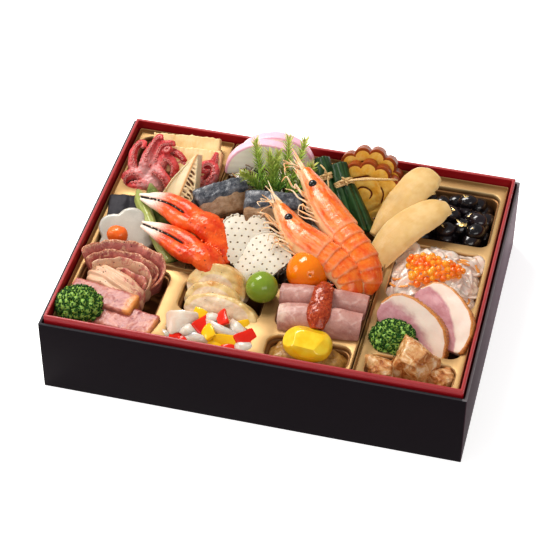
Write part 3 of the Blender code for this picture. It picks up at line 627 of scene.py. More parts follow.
def floor_paint(own, tint, edge):
    grain = own.noise(900.0, 3.0)
    return (
        grain.mixed((0.93, 0.93, 0.93), (0.96, 0.96, 0.96)),
        grain * 0.1 + 0.75,
        None,
        grain.mixed((0.97, 0.97, 0.97), (1.0, 1.0, 1.0)),
    )


def make_floor():
    floor = primitive("plane", "floor", size=2 * FLOOR_HALF * MM)
    floor.data.materials.append(finish("pale_floor", floor_paint, Emission_Strength=0.5))
    keep_own(floor)


# The box and its liner.

BOARD_TOP = (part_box("box_shell")[1] / MM).z
LINER_TOP = (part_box("box_liner")[1] / MM).z
WALLS = {"box_shell": 2.5, "box_liner": 3.0}
SLOTS = {"box_shell": "black_board", "box_liner": "red_lacquer"}


def board_paint(own, tint, edge):
    """Black paper on board with a faint weave; painted light makes its edges look lit and its right face
    lighter towards the back.
    """
    weave = own.noise(0.5, 3.0, 0.6)
    dust = own.noise(45.0, 3.0)
    shade = dust.mixed((0.0075, 0.0045, 0.007), (0.0105, 0.0065, 0.0095))
    # The right face is mauve grey and lighter towards the back: painted light from the side.
    flank = own.part(0).step(134.3, 134.8)
    side = own.part(1).step(-95.0, 100.0).mixed((0.036, 0.014, 0.022), (0.125, 0.058, 0.085))
    shade = flank.mixed(shade, side)
    # The top rims are painted grey and the right one lighter: painted light catching the edges.
    rim = own.part(2).step(BOARD_TOP - 0.8, BOARD_TOP - 0.2)
    shade = (rim * (0.55 + flank * 0.4)).mixed(shade, (0.10, 0.10, 0.11))
    right_rim_light = own.part(0).step(131.8, 132.4) * rim
    shade = (right_rim_light * 0.9).mixed(shade, (0.24, 0.22, 0.23))
    height = weave * 0.5 + own.noise(1.8, 2.0) * 0.5
    return shade, dust * 0.14 + 0.4, height.bump(0.05, 0.5)


def lacquer_paint(own, tint, edge):
    """Dark red gloss over a hardly visible orange-peel ripple, with a painted highlight along the top of the
    lip.
    """
    ripple = own.noise(3.2, 2.0)
    cloud = own.noise(60.0, 3.0)
    red = cloud.mixed((0.30, 0.010, 0.016), (0.38, 0.016, 0.022))
    # The top of the lip is painted paler pink: a painted highlight where the light catches it.
    lip = own.part(2).step(LINER_TOP - 0.9, LINER_TOP - 0.2)
    return (lip * 0.3).mixed(red, (0.62, 0.17, 0.16)), cloud * 0.1 + 0.24, ripple.bump(0.04, 0.35)


def make_box():
    board = finish("black_board", board_paint, Specular_IOR_Level=0.06)
    lacquer = finish("red_lacquer", lacquer_paint, coat=(0.15, 0.12))
    for node, name, material, radius in (
        ("box_shell", "outer_box", board, 0.55),
        ("box_liner", "inner_box", lacquer, 0.9),
    ):
        low, high = (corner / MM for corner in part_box(node))
        size = high - low
        wall = WALLS[node]
        box = primitive("cube", name, size=1.0, location=(low + high) / 2 * MM, scale=size * MM)
        bpy.ops.object.transform_apply()
        bm = bmesh.new()
        bm.from_mesh(box.data)
        top = max(bm.faces, key=lambda face: face.calc_center_median().z)
        bmesh.ops.inset_region(bm, faces=[top], thickness=wall * MM)
        inner = max(bm.faces, key=lambda f: (round(f.calc_center_median().z, 6), f.calc_area()))
        made = bmesh.ops.extrude_face_region(bm, geom=[inner])["geom"]
        bmesh.ops.delete(bm, geom=[inner], context="FACES")
        sunk = [g for g in made if isinstance(g, bmesh.types.BMVert)]
        bmesh.ops.translate(bm, vec=(0, 0, -(size.z - wall) * MM), verts=sunk)
        bmesh.ops.recalc_face_normals(bm, faces=bm.faces[:])
        bm.to_mesh(box.data)
        bm.free()
        modify(box, "BEVEL", width=radius * MM, segments=3, limit_method="ANGLE", harden_normals=False)
        place(box, material, SLOTS[node], node, smooth=40)


# The foil trays.

FLANGE_Z = 52.0
FLOOR_Z = 32.0
TRAY_FOOT = 6.3
CORNER_STEPS = 9
BEAD = 1.1  # how far a tray's turned-up edge stands over its flange
WALL_BEAD = 2.6  # and how far where it meets the liner
POCKETS = {  # left, front, right, back, corner radius
    "tray_back_left": ((-126.3, 37.5, -66.6, 94.5, 10.0), (-125.4, -27.5, -65.6, 31.0, 9.0)),
    "tray_front": (
        (-126.0, -94.8, -66.8, -34.2, 8.0), (-58.2, -67.0, -3.2, -35.5, 9.0),
        (-58.2, -94.8, -3.2, -72.0, 8.0), (5.2, -67.0, 59.6, -35.5, 9.0),
        (5.2, -94.8, 59.6, -72.0, 8.0),
    ),
    "tray_right": (
        (71.0, 36.0, 125.4, 91.5, 8.0), (67.0, -25.0, 125.8, 30.0, 9.0),
        (68.0, -68.5, 125.2, -33.5, 8.0), (68.0, -94.8, 125.2, -73.0, 8.0),
    ),
    "tray_centre": ((-58.6, -29.2, 60.2, 95.3, 8.0),),
}
# (inset, height): the rolled mouth, the step under it, the wall and the rounded foot.
POCKET_RINGS = (
    (0.3, 51.9), (0.6, 51.5), (0.8, 50.9), (1.1, 49.4), (1.3, 48.7), (1.8, 48.45), (2.1, 48.35),
    (2.35, 48.0), (2.5, 47.3), (2.9, 40.0), (3.4, 34.0), (3.9, 32.8), (4.8, 32.2), (6.2, FLOOR_Z),
)
# (inset, rise over the flange): the turned-up edge, from the flange outwards and down.
EDGE_RINGS = ((1.3, 0.2), (1.1, 0.6), (1.0, 1.0), (0.7, 1.15), (0.35, 1.05), (0.15, 0.6))


def rounded_loop(pocket, inset, z):
    left, front, right, back, radius = pocket
    left, front, right, back = left + inset, front + inset, right - inset, back - inset
    radius = max(radius - inset, 0.4)
    points = []
    for x, y, start in (
        (right - radius, back - radius, 0), (left + radius, back - radius, 90),
        (left + radius, front + radius, 180), (right - radius, front + radius, 270),
    ):
        for step in range(CORNER_STEPS + 1):
            angle = math.radians(start + 90 * step / CORNER_STEPS)
            points.append((x + radius * math.cos(angle), y + radius * math.sin(angle), z))
    return points


def ring_of(bm, points):
    return [bm.verts.new([v * MM for v in p]) for p in points]


def band(bm, upper, lower):
    for i, vert in enumerate(upper):
        bm.faces.new((vert, upper[i - 1], lower[i - 1], lower[i]))


def foil_paint(own, tint, edge):
    """Gold film: soft dents from forming and fine drawing lines; painted shade browns it down the pocket
    walls and darkens the step under each mouth, and a painted highlight lights the rolled mouth.
    """
    dents = own.noise(16.0, 3.0, 0.55)
    lines = own.noise(1.1, 2.0, 0.7)
    cloud = own.noise(35.0, 3.0)
    bright = cloud.mixed((0.45, 0.28, 0.125), (0.54, 0.36, 0.175))
    # Brown used where tint is high, down the pocket walls: painted shade.
    deep = cloud.mixed((0.26, 0.105, 0.033), (0.42, 0.20, 0.075))
    height = own.part(2)
    # The rolled mouth is painted pale gold: a painted highlight on the edge.
    lip = height.step(50.3, 50.9) * height.step(51.98, 51.8)
    # The step under the mouth is painted dark: painted shade in the groove.
    gutter_shade = height.step(47.6, 48.2) * height.step(50.0, 49.2)
    return (
        (gutter_shade * 0.55).mixed(
            (lip * 0.6).mixed(tint.mixed(bright, deep), (0.95, 0.74, 0.42)), (0.13, 0.05, 0.018)
        ),
        lines * 0.08 + 0.44 + tint * 0.03,
        (dents * 0.92 + lines * 0.08).bump(0.4, 0.5),
    )


def make_trays():
    """Each foil tray in one sheet: its flange with a turned-up edge, and its pockets."""
    gold = finish("gold_foil", foil_paint, Metallic=0.72)
    liner_low, liner_high = (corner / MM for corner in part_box("box_liner"))
    board = WALLS["box_liner"] + 1.0
    for node, pockets in POCKETS.items():
        low, high = (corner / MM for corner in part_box(node))
        outline = (low.x, low.y, high.x, high.y, 1.8)
        bm = bmesh.new()
        mouths = [ring_of(bm, rounded_loop(p, 0.0, FLANGE_Z)) for p in pockets]
        rim = ring_of(bm, rounded_loop(outline, 1.7, FLANGE_Z))
        loops = [bm.edges.new((a, b)) for ring in (rim, *mouths) for a, b in zip(ring, ring[1:] + ring[:1])]
        bmesh.ops.triangle_fill(bm, use_beauty=True, edges=loops, normal=(0, 0, 1))
        for pocket, ring in zip(pockets, mouths):
            for inset, z in POCKET_RINGS:
                lower = ring_of(bm, rounded_loop(pocket, inset, z))
                band(bm, ring, lower)
                ring = lower
            bm.faces.new(ring)
        ring = rim
        for inset, rise in EDGE_RINGS:
            points = []
            for x, y, z in rounded_loop(outline, inset, FLANGE_Z):
                at_wall = (
                    x < liner_low.x + board + 2 or x > liner_high.x - board - 2
                    or y < liner_low.y + board + 2 or y > liner_high.y - board - 2
                )
                points.append((x, y, z + rise * (WALL_BEAD if at_wall else BEAD)))
            lower = ring_of(bm, points)
            band(bm, ring, lower)
            ring = lower
        band(bm, ring, ring_of(bm, rounded_loop(outline, 0.0, TRAY_FOOT)))
        bmesh.ops.recalc_face_normals(bm, faces=bm.faces[:])
        mesh = bpy.data.meshes.new(node + "_foil")
        bm.to_mesh(mesh)
        bm.free()
        tray = bpy.data.objects.new(node + "_foil", mesh)
        bpy.context.scene.collection.objects.link(tray)
        heights = points_of(tray)[:, 2]
        keep_own(tray)
        # Tint rises with depth: painted shade, darker down the step and the pocket walls.
        tinted(tray, np.where(heights > 48.2, (51.4 - heights) * 0.16, (48.4 - heights) / 2.2 + 0.2))
        modify(tray, "SOLIDIFY", thickness=0.35 * MM, offset=-1.0)
        place(tray, gold, "gold_foil", node, smooth=35)


# Shrimps.

SHRIMP_WIDTHS = (3.6, 5.8, 7.8, 8.0, 7.5, 7.0, 6.0, 3.0)
SHRIMP_HEIGHTS = (4.6, 7.4, 10.2, 11.0, 10.5, 9.5, 8.0, 4.0)
SHRIMP_BACK = (0.6, 0.75, 0.5)  # the way its back faces
HEAD_END = 0.55
PLATE_ENDS = (0.55, 0.63, 0.71, 0.79, 0.86, 0.93, 1.0)
SHRIMPS = {  # head to tail, then the eye
    "shrimp_back": (
        ((-1, 46, 84), (8, 35, 81), (16, 24, 78), (30, 9, 74), (42, -2, 71), (52, -11, 67),
         (57.5, -20, 60), (57, -25, 53)),
        (8, 33, 86),
    ),
    "shrimp_front": (
        ((-10, 14, 78), (-2, 5, 75), (6, -3, 72), (20, -11, 70), (33, -17, 67), (43, -23, 63),
         (47, -29, 57), (45, -33, 51)),
        (-1, 4, 80),
    ),
}


def shrimp_paint(own, tint, edge):
    """Cooked shell: orange over cream, redder towards the back, pale where the plates end."""
    cloud = own.noise(7.0, 4.0, 0.6, 0.6)
    blotch = own.noise(2.2, 3.0, 0.65)
    fine = own.noise(0.45, 2.0, 0.7)
    shell = cloud.step(0.35, 0.68).mixed((0.90, 0.23, 0.028), (0.78, 0.10, 0.010))
    shell = (blotch.step(0.55, 0.75) * 0.5).mixed(shell, (0.96, 0.46, 0.20))
    shell = (fine.step(0.6, 0.8) * 0.35).mixed(shell, (0.72, 0.05, 0.01))
    belly = cloud.mixed((0.90, 0.68, 0.40), (0.93, 0.50, 0.24))
    colour = (tint * 0.94 + (blotch - 0.5) * 0.25).step(0.15, 0.75).mixed(belly, shell)
    colour = (edge * 0.6).mixed(colour, (0.96, 0.52, 0.34))
    x, y, z = own.part(0) + 6.0, own.part(1) - 2.0, own.part(2) - 22.0
    cheek = (x * x + y * y + z * z * 0.4).step(16.0, 5.0)
    colour = (cheek * 0.75).mixed(colour, (0.66, 0.02, 0.006))
    streak = own.moved(size=(1, 1, 0.15)).noise(2.4, 3.0, 0.6).step(0.42, 0.62)
    colour = (own.part(2).step(80.0, 8.0) * streak * 0.55).mixed(colour, (0.93, 0.58, 0.36))
    height = fine * 0.35 + blotch * 0.65
    return colour, blotch * 0.16 + 0.2, height.bump(0.16, 0.5)


def shrimp_skin(points):
    """The plates of a shrimp's shell on a bar of radius 1: its flare and its two masks."""
    turn = np.arctan2(points[:, 1], points[:, 0])
    off_back = np.abs((turn - math.pi / 2 + math.pi) % (2 * math.pi) - math.pi)
    t = points[:, 2]
    flare = np.zeros(len(t))
    shell = np.zeros(len(t))
    pale = np.zeros(len(t))
    start = 0.0
    for end in PLATE_ENDS:
        inside = (t >= start) & (t < end) if end < 1 else t >= start
        share = np.clip((t - start) / (end - start), 0, 1)
        first = end == HEAD_END
        rise = 0.055 * share**3 if first else 0.085 * share**1.3 - 0.01
        hem = 2.05 + (0.1 if first else 0.38) * np.sin(math.pi * share) ** 0.6
        over = 1 / (1 + np.exp((off_back - hem) * 16))
        ridge = np.exp(-((off_back / 0.16) ** 2)) * (0.07 if first else 0.02)
        rib = 0.03 * np.exp(-(((off_back - hem + 0.12) / 0.08) ** 2))
        flare = np.where(inside, rise * over + ridge + rib - 0.05 * (1 - over), flare)
        shell = np.where(inside, over, shell)
        rim = np.exp(-(1 - share) * (22 if first else 9)) + 0.7 * np.exp(
            -(((off_back - hem + 0.1) / 0.09) ** 2)
        )
        pale = np.where(inside, rim * over * 0.8, pale)
        start = end
    cheek = np.exp(-(((t - 0.22) / 0.1) ** 2) - (((off_back - 1.7) / 0.4) ** 2))
    return flare + 0.04 * cheek, shell, pale


def make_shrimps():
    """Each shrimp's body, then its eyes, legs, spikes and antennae."""
    shell = finish("shrimp_shell", shrimp_paint, coat=(0.35, 0.18), **flesh(0.22, (1.0, 0.35, 0.18), 2.2))
    eye_black = finish("shrimp_eye", eye_paint, coat=(1.0, 0.05))
    feeler = finish("shrimp_feelers", feeler_paint, **flesh(0.25, (1.0, 0.5, 0.3), 1.0))
    for number, (node, (route, eye)) in enumerate(SHRIMPS.items()):
        body = bar(node + "_body", rings=150, sides=48)
        points = points_of(body)
        flare, over, pale = shrimp_skin(points)
        points[:, :2] *= (1 + flare)[:, None]
        set_points(body, points)
        bend(body, route, SHRIMP_WIDTHS, SHRIMP_HEIGHTS, SHRIMP_BACK)
        tinted(body, over)
        tinted(body, pale, EDGE)
        carve(body, lambda p, n: 0.18 * lumps(p, 3.0, 1 + number) + 0.06 * lumps(p, 0.9, 2))
        place(body, shell, "shrimp", node)
        ahead = (Vector(route[0]) - Vector(route[2])).normalized()
        back = Vector(SHRIMP_BACK).normalized()
        side = back.cross(ahead).normalized()
        balls = []
        for flip in (0, 1):
            stalk = ball(f"{node}_eye_{flip}", (2.8, 2.8, 2.6), detail=4)
            balls.append(lay(stalk, Matrix.Translation(Vector(eye) - side * 13.0 * flip)))
        place(merged(node + "_eyes", balls), eye_black, "shrimp")
        rng = random.Random(5 + number)
        nose, throat = Vector(route[0]), Vector(route[2])
        legs = []
        for k in range(9):
            start = throat + ahead * (14 - 3.4 * k) - back * 6.5 + side * rng.uniform(0, 3.5)
            knee = start + ahead * rng.uniform(2, 8) + side * rng.uniform(4, 8) - back * rng.uniform(1, 5)
            shin = knee + ahead * rng.uniform(3, 8) + side * rng.uniform(-1, 3) - back * rng.uniform(0, 5)
            toe = shin + ahead * rng.uniform(-5, 5) - back * rng.uniform(1, 5) + side * rng.uniform(-2, 2)
            legs.append((start, (start + knee) / 2 + side, knee, shin, toe))
        place(threads(node + "_legs", legs, 0.62, 6, 0.3), feeler, "shrimp")
        spikes = []
        for k in range(9):
            root = nose - ahead * rng.uniform(3, 9) + side * rng.uniform(-2.6, 3.4)
            root -= back * rng.uniform(-3.6, 4)
            fan = side * (1.5 * k - 3.4) + back * rng.uniform(-3, 3.5)
            far = rng.uniform(11, 20)
            spikes.append((root, root + ahead * far * 0.5 + fan * 0.3, root + ahead * far + fan))
        place(leaned(threads(node + "_spikes", spikes, 1.35, 8, 0.12, 0.15)), feeler, "shrimp")
        antennae = []
        for k in range(4):
            root = nose - ahead * 5 + side * (k - 1.5) * 1.2 - back
            tip = root + ahead * rng.uniform(10, 16) + side * rng.uniform(4, 12) - back * rng.uniform(2, 9)
            curl = tip + side * rng.uniform(2, 8) - ahead * rng.uniform(0, 9) - back * rng.uniform(0, 3)
            antennae.append((root, root + ahead * 8 + side * 2, tip, curl))
        place(leaned(threads(node + "_antennae", antennae, 0.42, 6, 0.4)), feeler, "shrimp")


def eye_paint(own, tint, edge):
    speck = own.noise(0.5, 2.0)
    return speck.mixed((0.006, 0.005, 0.006), (0.02, 0.014, 0.014)), speck * 0.1 + 0.12


def feeler_paint(own, tint, edge):
    cloud = own.noise(5.0, 3.0)
    return (
        cloud.step(0.35, 0.65).mixed((0.92, 0.48, 0.22), (0.96, 0.76, 0.54)),
        cloud * 0.15 + 0.3,
        own.noise(0.7, 2.0).bump(0.1, 0.5),
    )


# Crab claws.

CLAWS = {  # the arm's route, its half widths, the two fingers and the palm's end
    "crab_claw_back": (
        ((-33, -21, 55), (-42, -12, 61), (-52, -3, 66), (-64, 0, 67)), (6.0, 8.5, 10.5, 8.0),
        ((-58, 0, 66.5), (-66, 5.5, 69), (-84, 14, 69), (-105, 17, 66)),
        ((-58, -1, 66), (-69, -2, 66), (-84, 7, 65.8), (-104, 15.5, 64.5)),
    ),
    "crab_claw_front": (
        ((-38, -35, 55), (-46, -28, 61), (-58, -23, 63)), (7.0, 9.5, 7.5),
        ((-52, -25, 62), (-60, -18.5, 64), (-76, -10.5, 64), (-97, -4, 62)),
        ((-52, -26, 62), (-62, -26, 61.5), (-77, -17, 61), (-97, -6.5, 61)),
    ),
}
FINGER = (5.4, 6.0, 4.8, 1.3)


def crab_paint(own, tint, edge):
    """Boiled crab: orange-red with darker pits, fading to pink and white at the finger tips, and painted
    near black as shade in the gap between the fingers.
    """
    cloud = own.noise(8.0, 3.0, 0.6)
    fine = own.noise(0.8, 3.0, 0.6)
    pits = own.cells(2.6)
    shell = cloud.step(0.3, 0.7).mixed((0.90, 0.15, 0.022), (0.68, 0.045, 0.008))
    shell = (fine.step(0.55, 0.8) * 0.5).mixed(shell, (1.0, 0.38, 0.14))
    dark = (1 - pits.step(0.12, 0.3)) * own.noise(6.0).step(0.5, 0.62)
    shell = (dark * 0.8).mixed(shell, (0.16, 0.02, 0.01))
    pale = own.noise(3.5, 3.0).mixed((0.98, 0.72, 0.60), (0.98, 0.88, 0.78))
    colour = (tint + (fine - 0.5) * 0.35).step(0.25, 0.8).mixed(shell, pale)
    # Near black where the fingers meet: painted shade in the gap between them.
    colour = (edge.step(0.25, 0.6)).mixed(colour, (0.03, 0.012, 0.01))
    height = fine * 0.5 + pits.step(0.05, 0.4) * 0.5
    return colour, fine * 0.2 + 0.22, height.bump(0.25, 0.6)


def tooth_paint(own, tint, edge):
    cloud = own.noise(1.5, 2.0)
    return cloud.mixed((0.95, 0.9, 0.8), (0.9, 0.78, 0.62)), cloud * 0.15 + 0.25


def gap_to(points, path):
    """How far each point is from a path."""
    near = np.full(len(points), 1e9)
    for a, b in zip(path, path[1:]):
        line = b - a
        share = np.clip((points - a) @ line / (line @ line), 0, 1)
        near = np.minimum(near, np.linalg.norm(points - a - share[:, None] * line, axis=1))
    return near


def make_claws():
    """Each claw's palm and fingers in one shell, then its teeth and spines."""
    shell = finish("crab_shell", crab_paint, coat=(0.3, 0.2), **flesh(0.12, (1.0, 0.3, 0.15), 1.5))
    ivory = finish("claw_teeth", tooth_paint, Coat_Weight=0.3)
    for node, (arm, widths, upper, lower) in CLAWS.items():
        palm = bar(node + "_palm", rings=24, sides=24)
        bend(palm, arm, widths, [0.75 * w for w in widths])
        fingers = []
        for route in (upper, lower):
            finger = bar(node + "_finger", rings=24, sides=20)
            bend(finger, route, FINGER, [0.85 * r for r in FINGER])
            fingers.append(finger)
        claw = merged(node + "_claw", [palm, *fingers])
        remeshed(claw, 0.5, 8)
        points = points_of(claw)
        paths = [smooth_path(route) for route in (upper, lower)]
        gaps = [gap_to(points, path) for path in paths]
        root = np.array(arm[-1])
        tips = np.array(upper[-1])
        ahead = (points - root) @ (tips - root) / np.linalg.norm(tips - root) ** 2
        jaw = np.exp(-(((gaps[0] - gaps[1]) / 0.75) ** 2)) * np.clip((ahead - 0.1) * 12, 0, 1)
        back = np.clip((0.12 - ahead) * 5, 0, 1)

        def skin(points, normals):
            pimples = np.clip(lumps(points, 1.9, 3), 0.15, 1) - 0.15
            return (0.35 * lumps(points, 5.0, 2) + 0.55 * back * pimples + 0.1 * pimples - 1.5 * jaw)

        carve(claw, skin)
        tinted(claw, np.clip((ahead - 0.28) * 1.6, 0, 1))
        # The jaw mask also carries the painted shade between the fingers.
        tinted(claw, jaw, EDGE)
        keep_own(claw)
        place(claw, shell, "crab", node)
        teeth = []
        for k in range(19):
            share = 0.26 + 0.64 * k / 18
            spots = [path[int(share * (len(path) - 1))] for path in paths]
            heart = Vector((spots[0] + spots[1]) / 2) + Vector((0, -0.6, 2.3 - 1.2 * share))
            heart += Vector(spots[k % 2] - spots[1 - k % 2]).normalized() * 0.75
            size = 0.95 - 0.45 * share
            tooth = chunk("tooth", (size * 1.1, size * 0.8, size), 0.6, 2)
            teeth.append(lay(tooth, Matrix.Translation(heart)))
        place(merged(node + "_teeth", teeth), ivory, "crab")
        spines = []
        rng = random.Random(len(node))
        edge_path = smooth_path(arm[:3])
        for k in range(16):
            share = k / 15
            at = Vector(edge_path[int(share * (len(edge_path) - 1))])
            along = Vector(arm[2]) - Vector(arm[0])
            out = along.cross(Vector((0, 0, 1))).normalized()
            wide = float(spread(widths, share * 0.66))
            size = rng.uniform(0.9, 1.5)
            spine = ball("spine", (size, size, size * 1.2), detail=2)
            shape(spine, lambda p: p + np.outer(np.clip(p[:, 2], 0, 9) * 0.8, (0, 0, 1)))
            tilt = out.lerp(Vector((0, 0, 1)), 0.35).to_track_quat("Z", "Y").to_matrix().to_4x4()
            lay(spine, Matrix.Translation(at + out * wide * 0.86 + Vector((0, 0, 1.5))) @ tilt)
            spines.append(spine)
        place(merged(node + "_spines", spines), shell, "crab")


# Squid, tomato and plum.

SQUID = {"squid_back": ((-27.5, -6, 60), 18, 66, -8), "squid_front": ((-12, -18, 58), -24, 66, -14)}
PRICK_ROWS = (4.5, 4.8)  # mm between the pricks along a row, and between rows


def squid_paint(own, tint, edge):
    """Ivory flesh with staggered rows of seared pricks."""
    loose = own.warped(7.0, 1.6)
    along, rows = PRICK_ROWS
    row = loose.part(1) / rows
    shift = row.maths("FLOOR", row).maths("MODULO", row.maths("FLOOR", row), 2.0).size() * 0.5
    column = loose.part(0) / along + shift
    dx = (column.maths("FRACT", column) - 0.5) * along
    dy = (row.maths("FRACT", row) - 0.5) * rows
    away = dx * dx + dy * dy
    face = own.part(2).step(2.5, 4.5)
    prick = (1 - away.step(0.14, 0.55)) * face
    halo = (1 - away.step(0.3, 2.2)) * face
    cloud = own.noise(6.0, 3.0)
    colour = cloud.mixed((0.74, 0.69, 0.60), (0.67, 0.59, 0.47))
    colour = (halo * 0.25).mixed(colour, (0.8, 0.66, 0.42))
    colour = (prick * 0.95).mixed(colour, (0.10, 0.055, 0.03))
    fine = own.noise(0.7, 3.0, 0.6)
    return colour, cloud * 0.15 + 0.36, (fine * 0.4 - prick).bump(0.35, 0.6)


def make_squid():
    meat = finish("squid_meat", squid_paint, **flesh(0.3, (1.0, 0.8, 0.55), 2.5))
    for number, (node, (at, yaw, lean, roll)) in enumerate(SQUID.items()):
        outline = [
            *arc(-7.2, 9.5, 9.2, 10, 168, 55, 14), (0, 13.4), *arc(7.2, 9.5, 9.2, 10, 125, 8, 14),
            (16.0, 2), (15.6, -4), (12.6, -11), (8.6, -17.5), (4, -22), (0, -24.5), (-4, -22),
            (-9, -17), (-13, -10.5), (-15.6, -3.5), (-16.2, 3),
        ]
        heart = slab(node + "_heart", outline, 12.4, 0.62, 5)

        def skin(points, normals):
            away = np.hypot(points[:, 0], points[:, 1])
            notch = np.sin(np.arctan2(points[:, 1], points[:, 0]) * 34)
            rim = np.clip((away - 13) / 6, 0, 1) * (np.abs(normals[:, 2]) < 0.8)
            crown = np.clip(normals[:, 2], 0, 1) * (1.2 - (away / 20) ** 2 * 2.4)
            return 0.32 * notch * rim + crown + 0.35 * lumps(points, 6.0, 4 + number)

        carve(heart, skin)
        shape(heart, lambda p: p * np.c_[1 + 0.045 * np.clip(p[:, 2] - 6.5, -9, 0),
                                         1 + 0.045 * np.clip(p[:, 2] - 6.5, -9, 0), np.ones(len(p))])
        lay(heart, stance(at, yaw, lean, roll))
        place(heart, meat, "squid", node)


def tomato_paint(own, tint, edge):
    cloud = own.noise(9.0, 3.0)
    freckle = own.noise(0.6, 2.0)
    # Lighter and more orange towards the top: painted light from above.
    top = own.part(2).step(-6.0, 12.0)
    colour = cloud.mixed((0.88, 0.17, 0.002), (0.92, 0.24, 0.004))
    colour = (top * 0.4).mixed(colour, (0.95, 0.29, 0.01))
    scar = edge.step(0.3, 0.8)
    return scar.mixed(colour, (0.25, 0.07, 0.01)), freckle * 0.06 + 0.1, cloud.bump(0.2, 0.4)


def plum_paint(own, tint, edge):
    cloud = own.noise(8.0, 3.0)
    colour = cloud.mixed((0.17, 0.27, 0.022), (0.29, 0.38, 0.05))
    blush = own.part(2).step(-10.0, -2.0)
    colour = blush.mixed((0.45, 0.42, 0.1), colour)
    scar = edge.step(0.3, 0.8)
    return (
        scar.mixed(colour, (0.5, 0.42, 0.16)),
        own.noise(1.0, 2.0) * 0.08 + 0.12,
        own.noise(4.0, 2.0).bump(0.15, 0.4),
    )


ROUND_FRUIT = {  # half sizes, the middle, the stalk's scar as a direction
    "tomato": ((13.8, 13.8, 13.2), (17.9, -22.0, 60.5), (0.29, -0.78, 0.56)),
    "green_plum": ((10.3, 10.3, 10.0), (-6.4, -44.0, 61.6), (0.35, -0.9, -0.3)),
}


def make_round_fruit():
    finishes = {
        "tomato": finish(
            "tomato_skin", tomato_paint, coat=(0.5, 0.12),
            **flesh(0.25, (1.0, 0.35, 0.08), 3.0),
        ),
        "green_plum": finish(
            "plum_skin", plum_paint, coat=(0.35, 0.16),
            **flesh(0.2, (0.6, 1.0, 0.2), 2.0),
        ),
    }
    slots = {"tomato": "tomato", "green_plum": "plum"}
    for node, (size, at, scar) in ROUND_FRUIT.items():
        fruit = ball(node + "_fruit", size, detail=5)
        scar = np.array(scar) / np.linalg.norm(scar)
        reach = points_of(fruit) / np.array(size) @ scar
        dent = np.exp(-((1 - reach) / 0.0018))
        carve(fruit, lambda p, n: 0.2 * lumps(p, 9.0, 3) - 0.5 * dent)
        tinted(fruit, dent, EDGE)
        lay(fruit, Matrix.Translation(at))
        place(fruit, finishes[node], slots[node], node)


# Ham rolls with their relish, the chestnut and its mash.

HAM_ROLLS = {
    "ham_roll_front": (
        ((9, -59.5, 52), (22, -59, 53), (44, -58, 53), (60, -57, 52)),
        (9.5, 10.5, 10.5, 10.0), (10.0, 11.5, 11.5, 11.0),
    ),
    "ham_roll_back": (
        ((6, -42, 54), (22, -41.5, 55), (44, -40.5, 55), (60.5, -40, 54)),
        (8.5, 9.0, 9.0, 8.5), (9.0, 9.5, 9.5, 9.0),
    ),
}
RELISH = (
    ((33, -34, 64), (33, -42, 67), (33.5, -52, 65), (34, -62, 63.5), (35, -69.5, 59)),
    (3.0, 6.0, 7.0, 7.5, 4.0), (2.0, 3.0, 3.5, 3.5, 2.5),
)


RELISH_DROPS = 26


def ham_roll_paint(own, tint, edge):
    """Dusty pink ham with a fine grain; edge marks the lean ends, tint the fat."""
    cloud = own.noise(9.0, 4.0, 0.6, 0.8)
    grain = own.noise(0.9, 3.0, 0.7)
    vein = 1 - own.warped(9.0, 7.0).cells(15.0, "DISTANCE_TO_EDGE").step(0.015, 0.06)
    meat = cloud.step(0.3, 0.7).mixed((0.42, 0.19, 0.165), (0.55, 0.30, 0.255))
    meat = (grain.step(0.45, 0.75) * 0.4).mixed(meat, (0.64, 0.42, 0.36))
    fat = cloud.mixed((0.76, 0.60, 0.48), (0.72, 0.49, 0.40))
    colour = (vein * cloud.step(0.45, 0.7) * 0.5).mixed(meat, (0.76, 0.56, 0.50))
    colour = (tint + (cloud - 0.5) * 1.2).step(0.4, 0.75).mixed(colour, fat)
    x, y = own.part(0), own.part(1)
    away = (x * x + y * y) ** 0.5
    turn = x.maths("ARCTAN2", y, x) * (1 / math.tau)
    layer = (away * 0.36 + turn).maths("FRACT", away * 0.36 + turn)
    # The spiral line between the rolled layers on the ends is painted dark: painted shade in the groove.
    seam = (1 - layer.step(0.05, 0.22)) * edge
    colour = (seam * 0.8).mixed(colour, (0.22, 0.07, 0.06))
    colour = (edge * 0.35).mixed(colour, (0.52, 0.22, 0.20))
    return colour, cloud * 0.2 + 0.3, (grain * 0.5 + cloud * 0.5 - vein * 0.4 - seam).bump(0.3, 0.5)


def relish_paint(own, tint, edge):
    pulp = own.noise(1.6, 4.0, 0.6, 0.5)
    seed = 1 - own.cells(1.9).step(0.12, 0.2)
    colour = pulp.step(0.3, 0.7).mixed((0.24, 0.02, 0.006), (0.52, 0.085, 0.02))
    colour = (seed * 0.5).mixed(colour, (0.75, 0.32, 0.12))
    return colour, pulp * 0.15 + 0.22, (pulp + seed * 0.3).bump(0.4, 0.4)


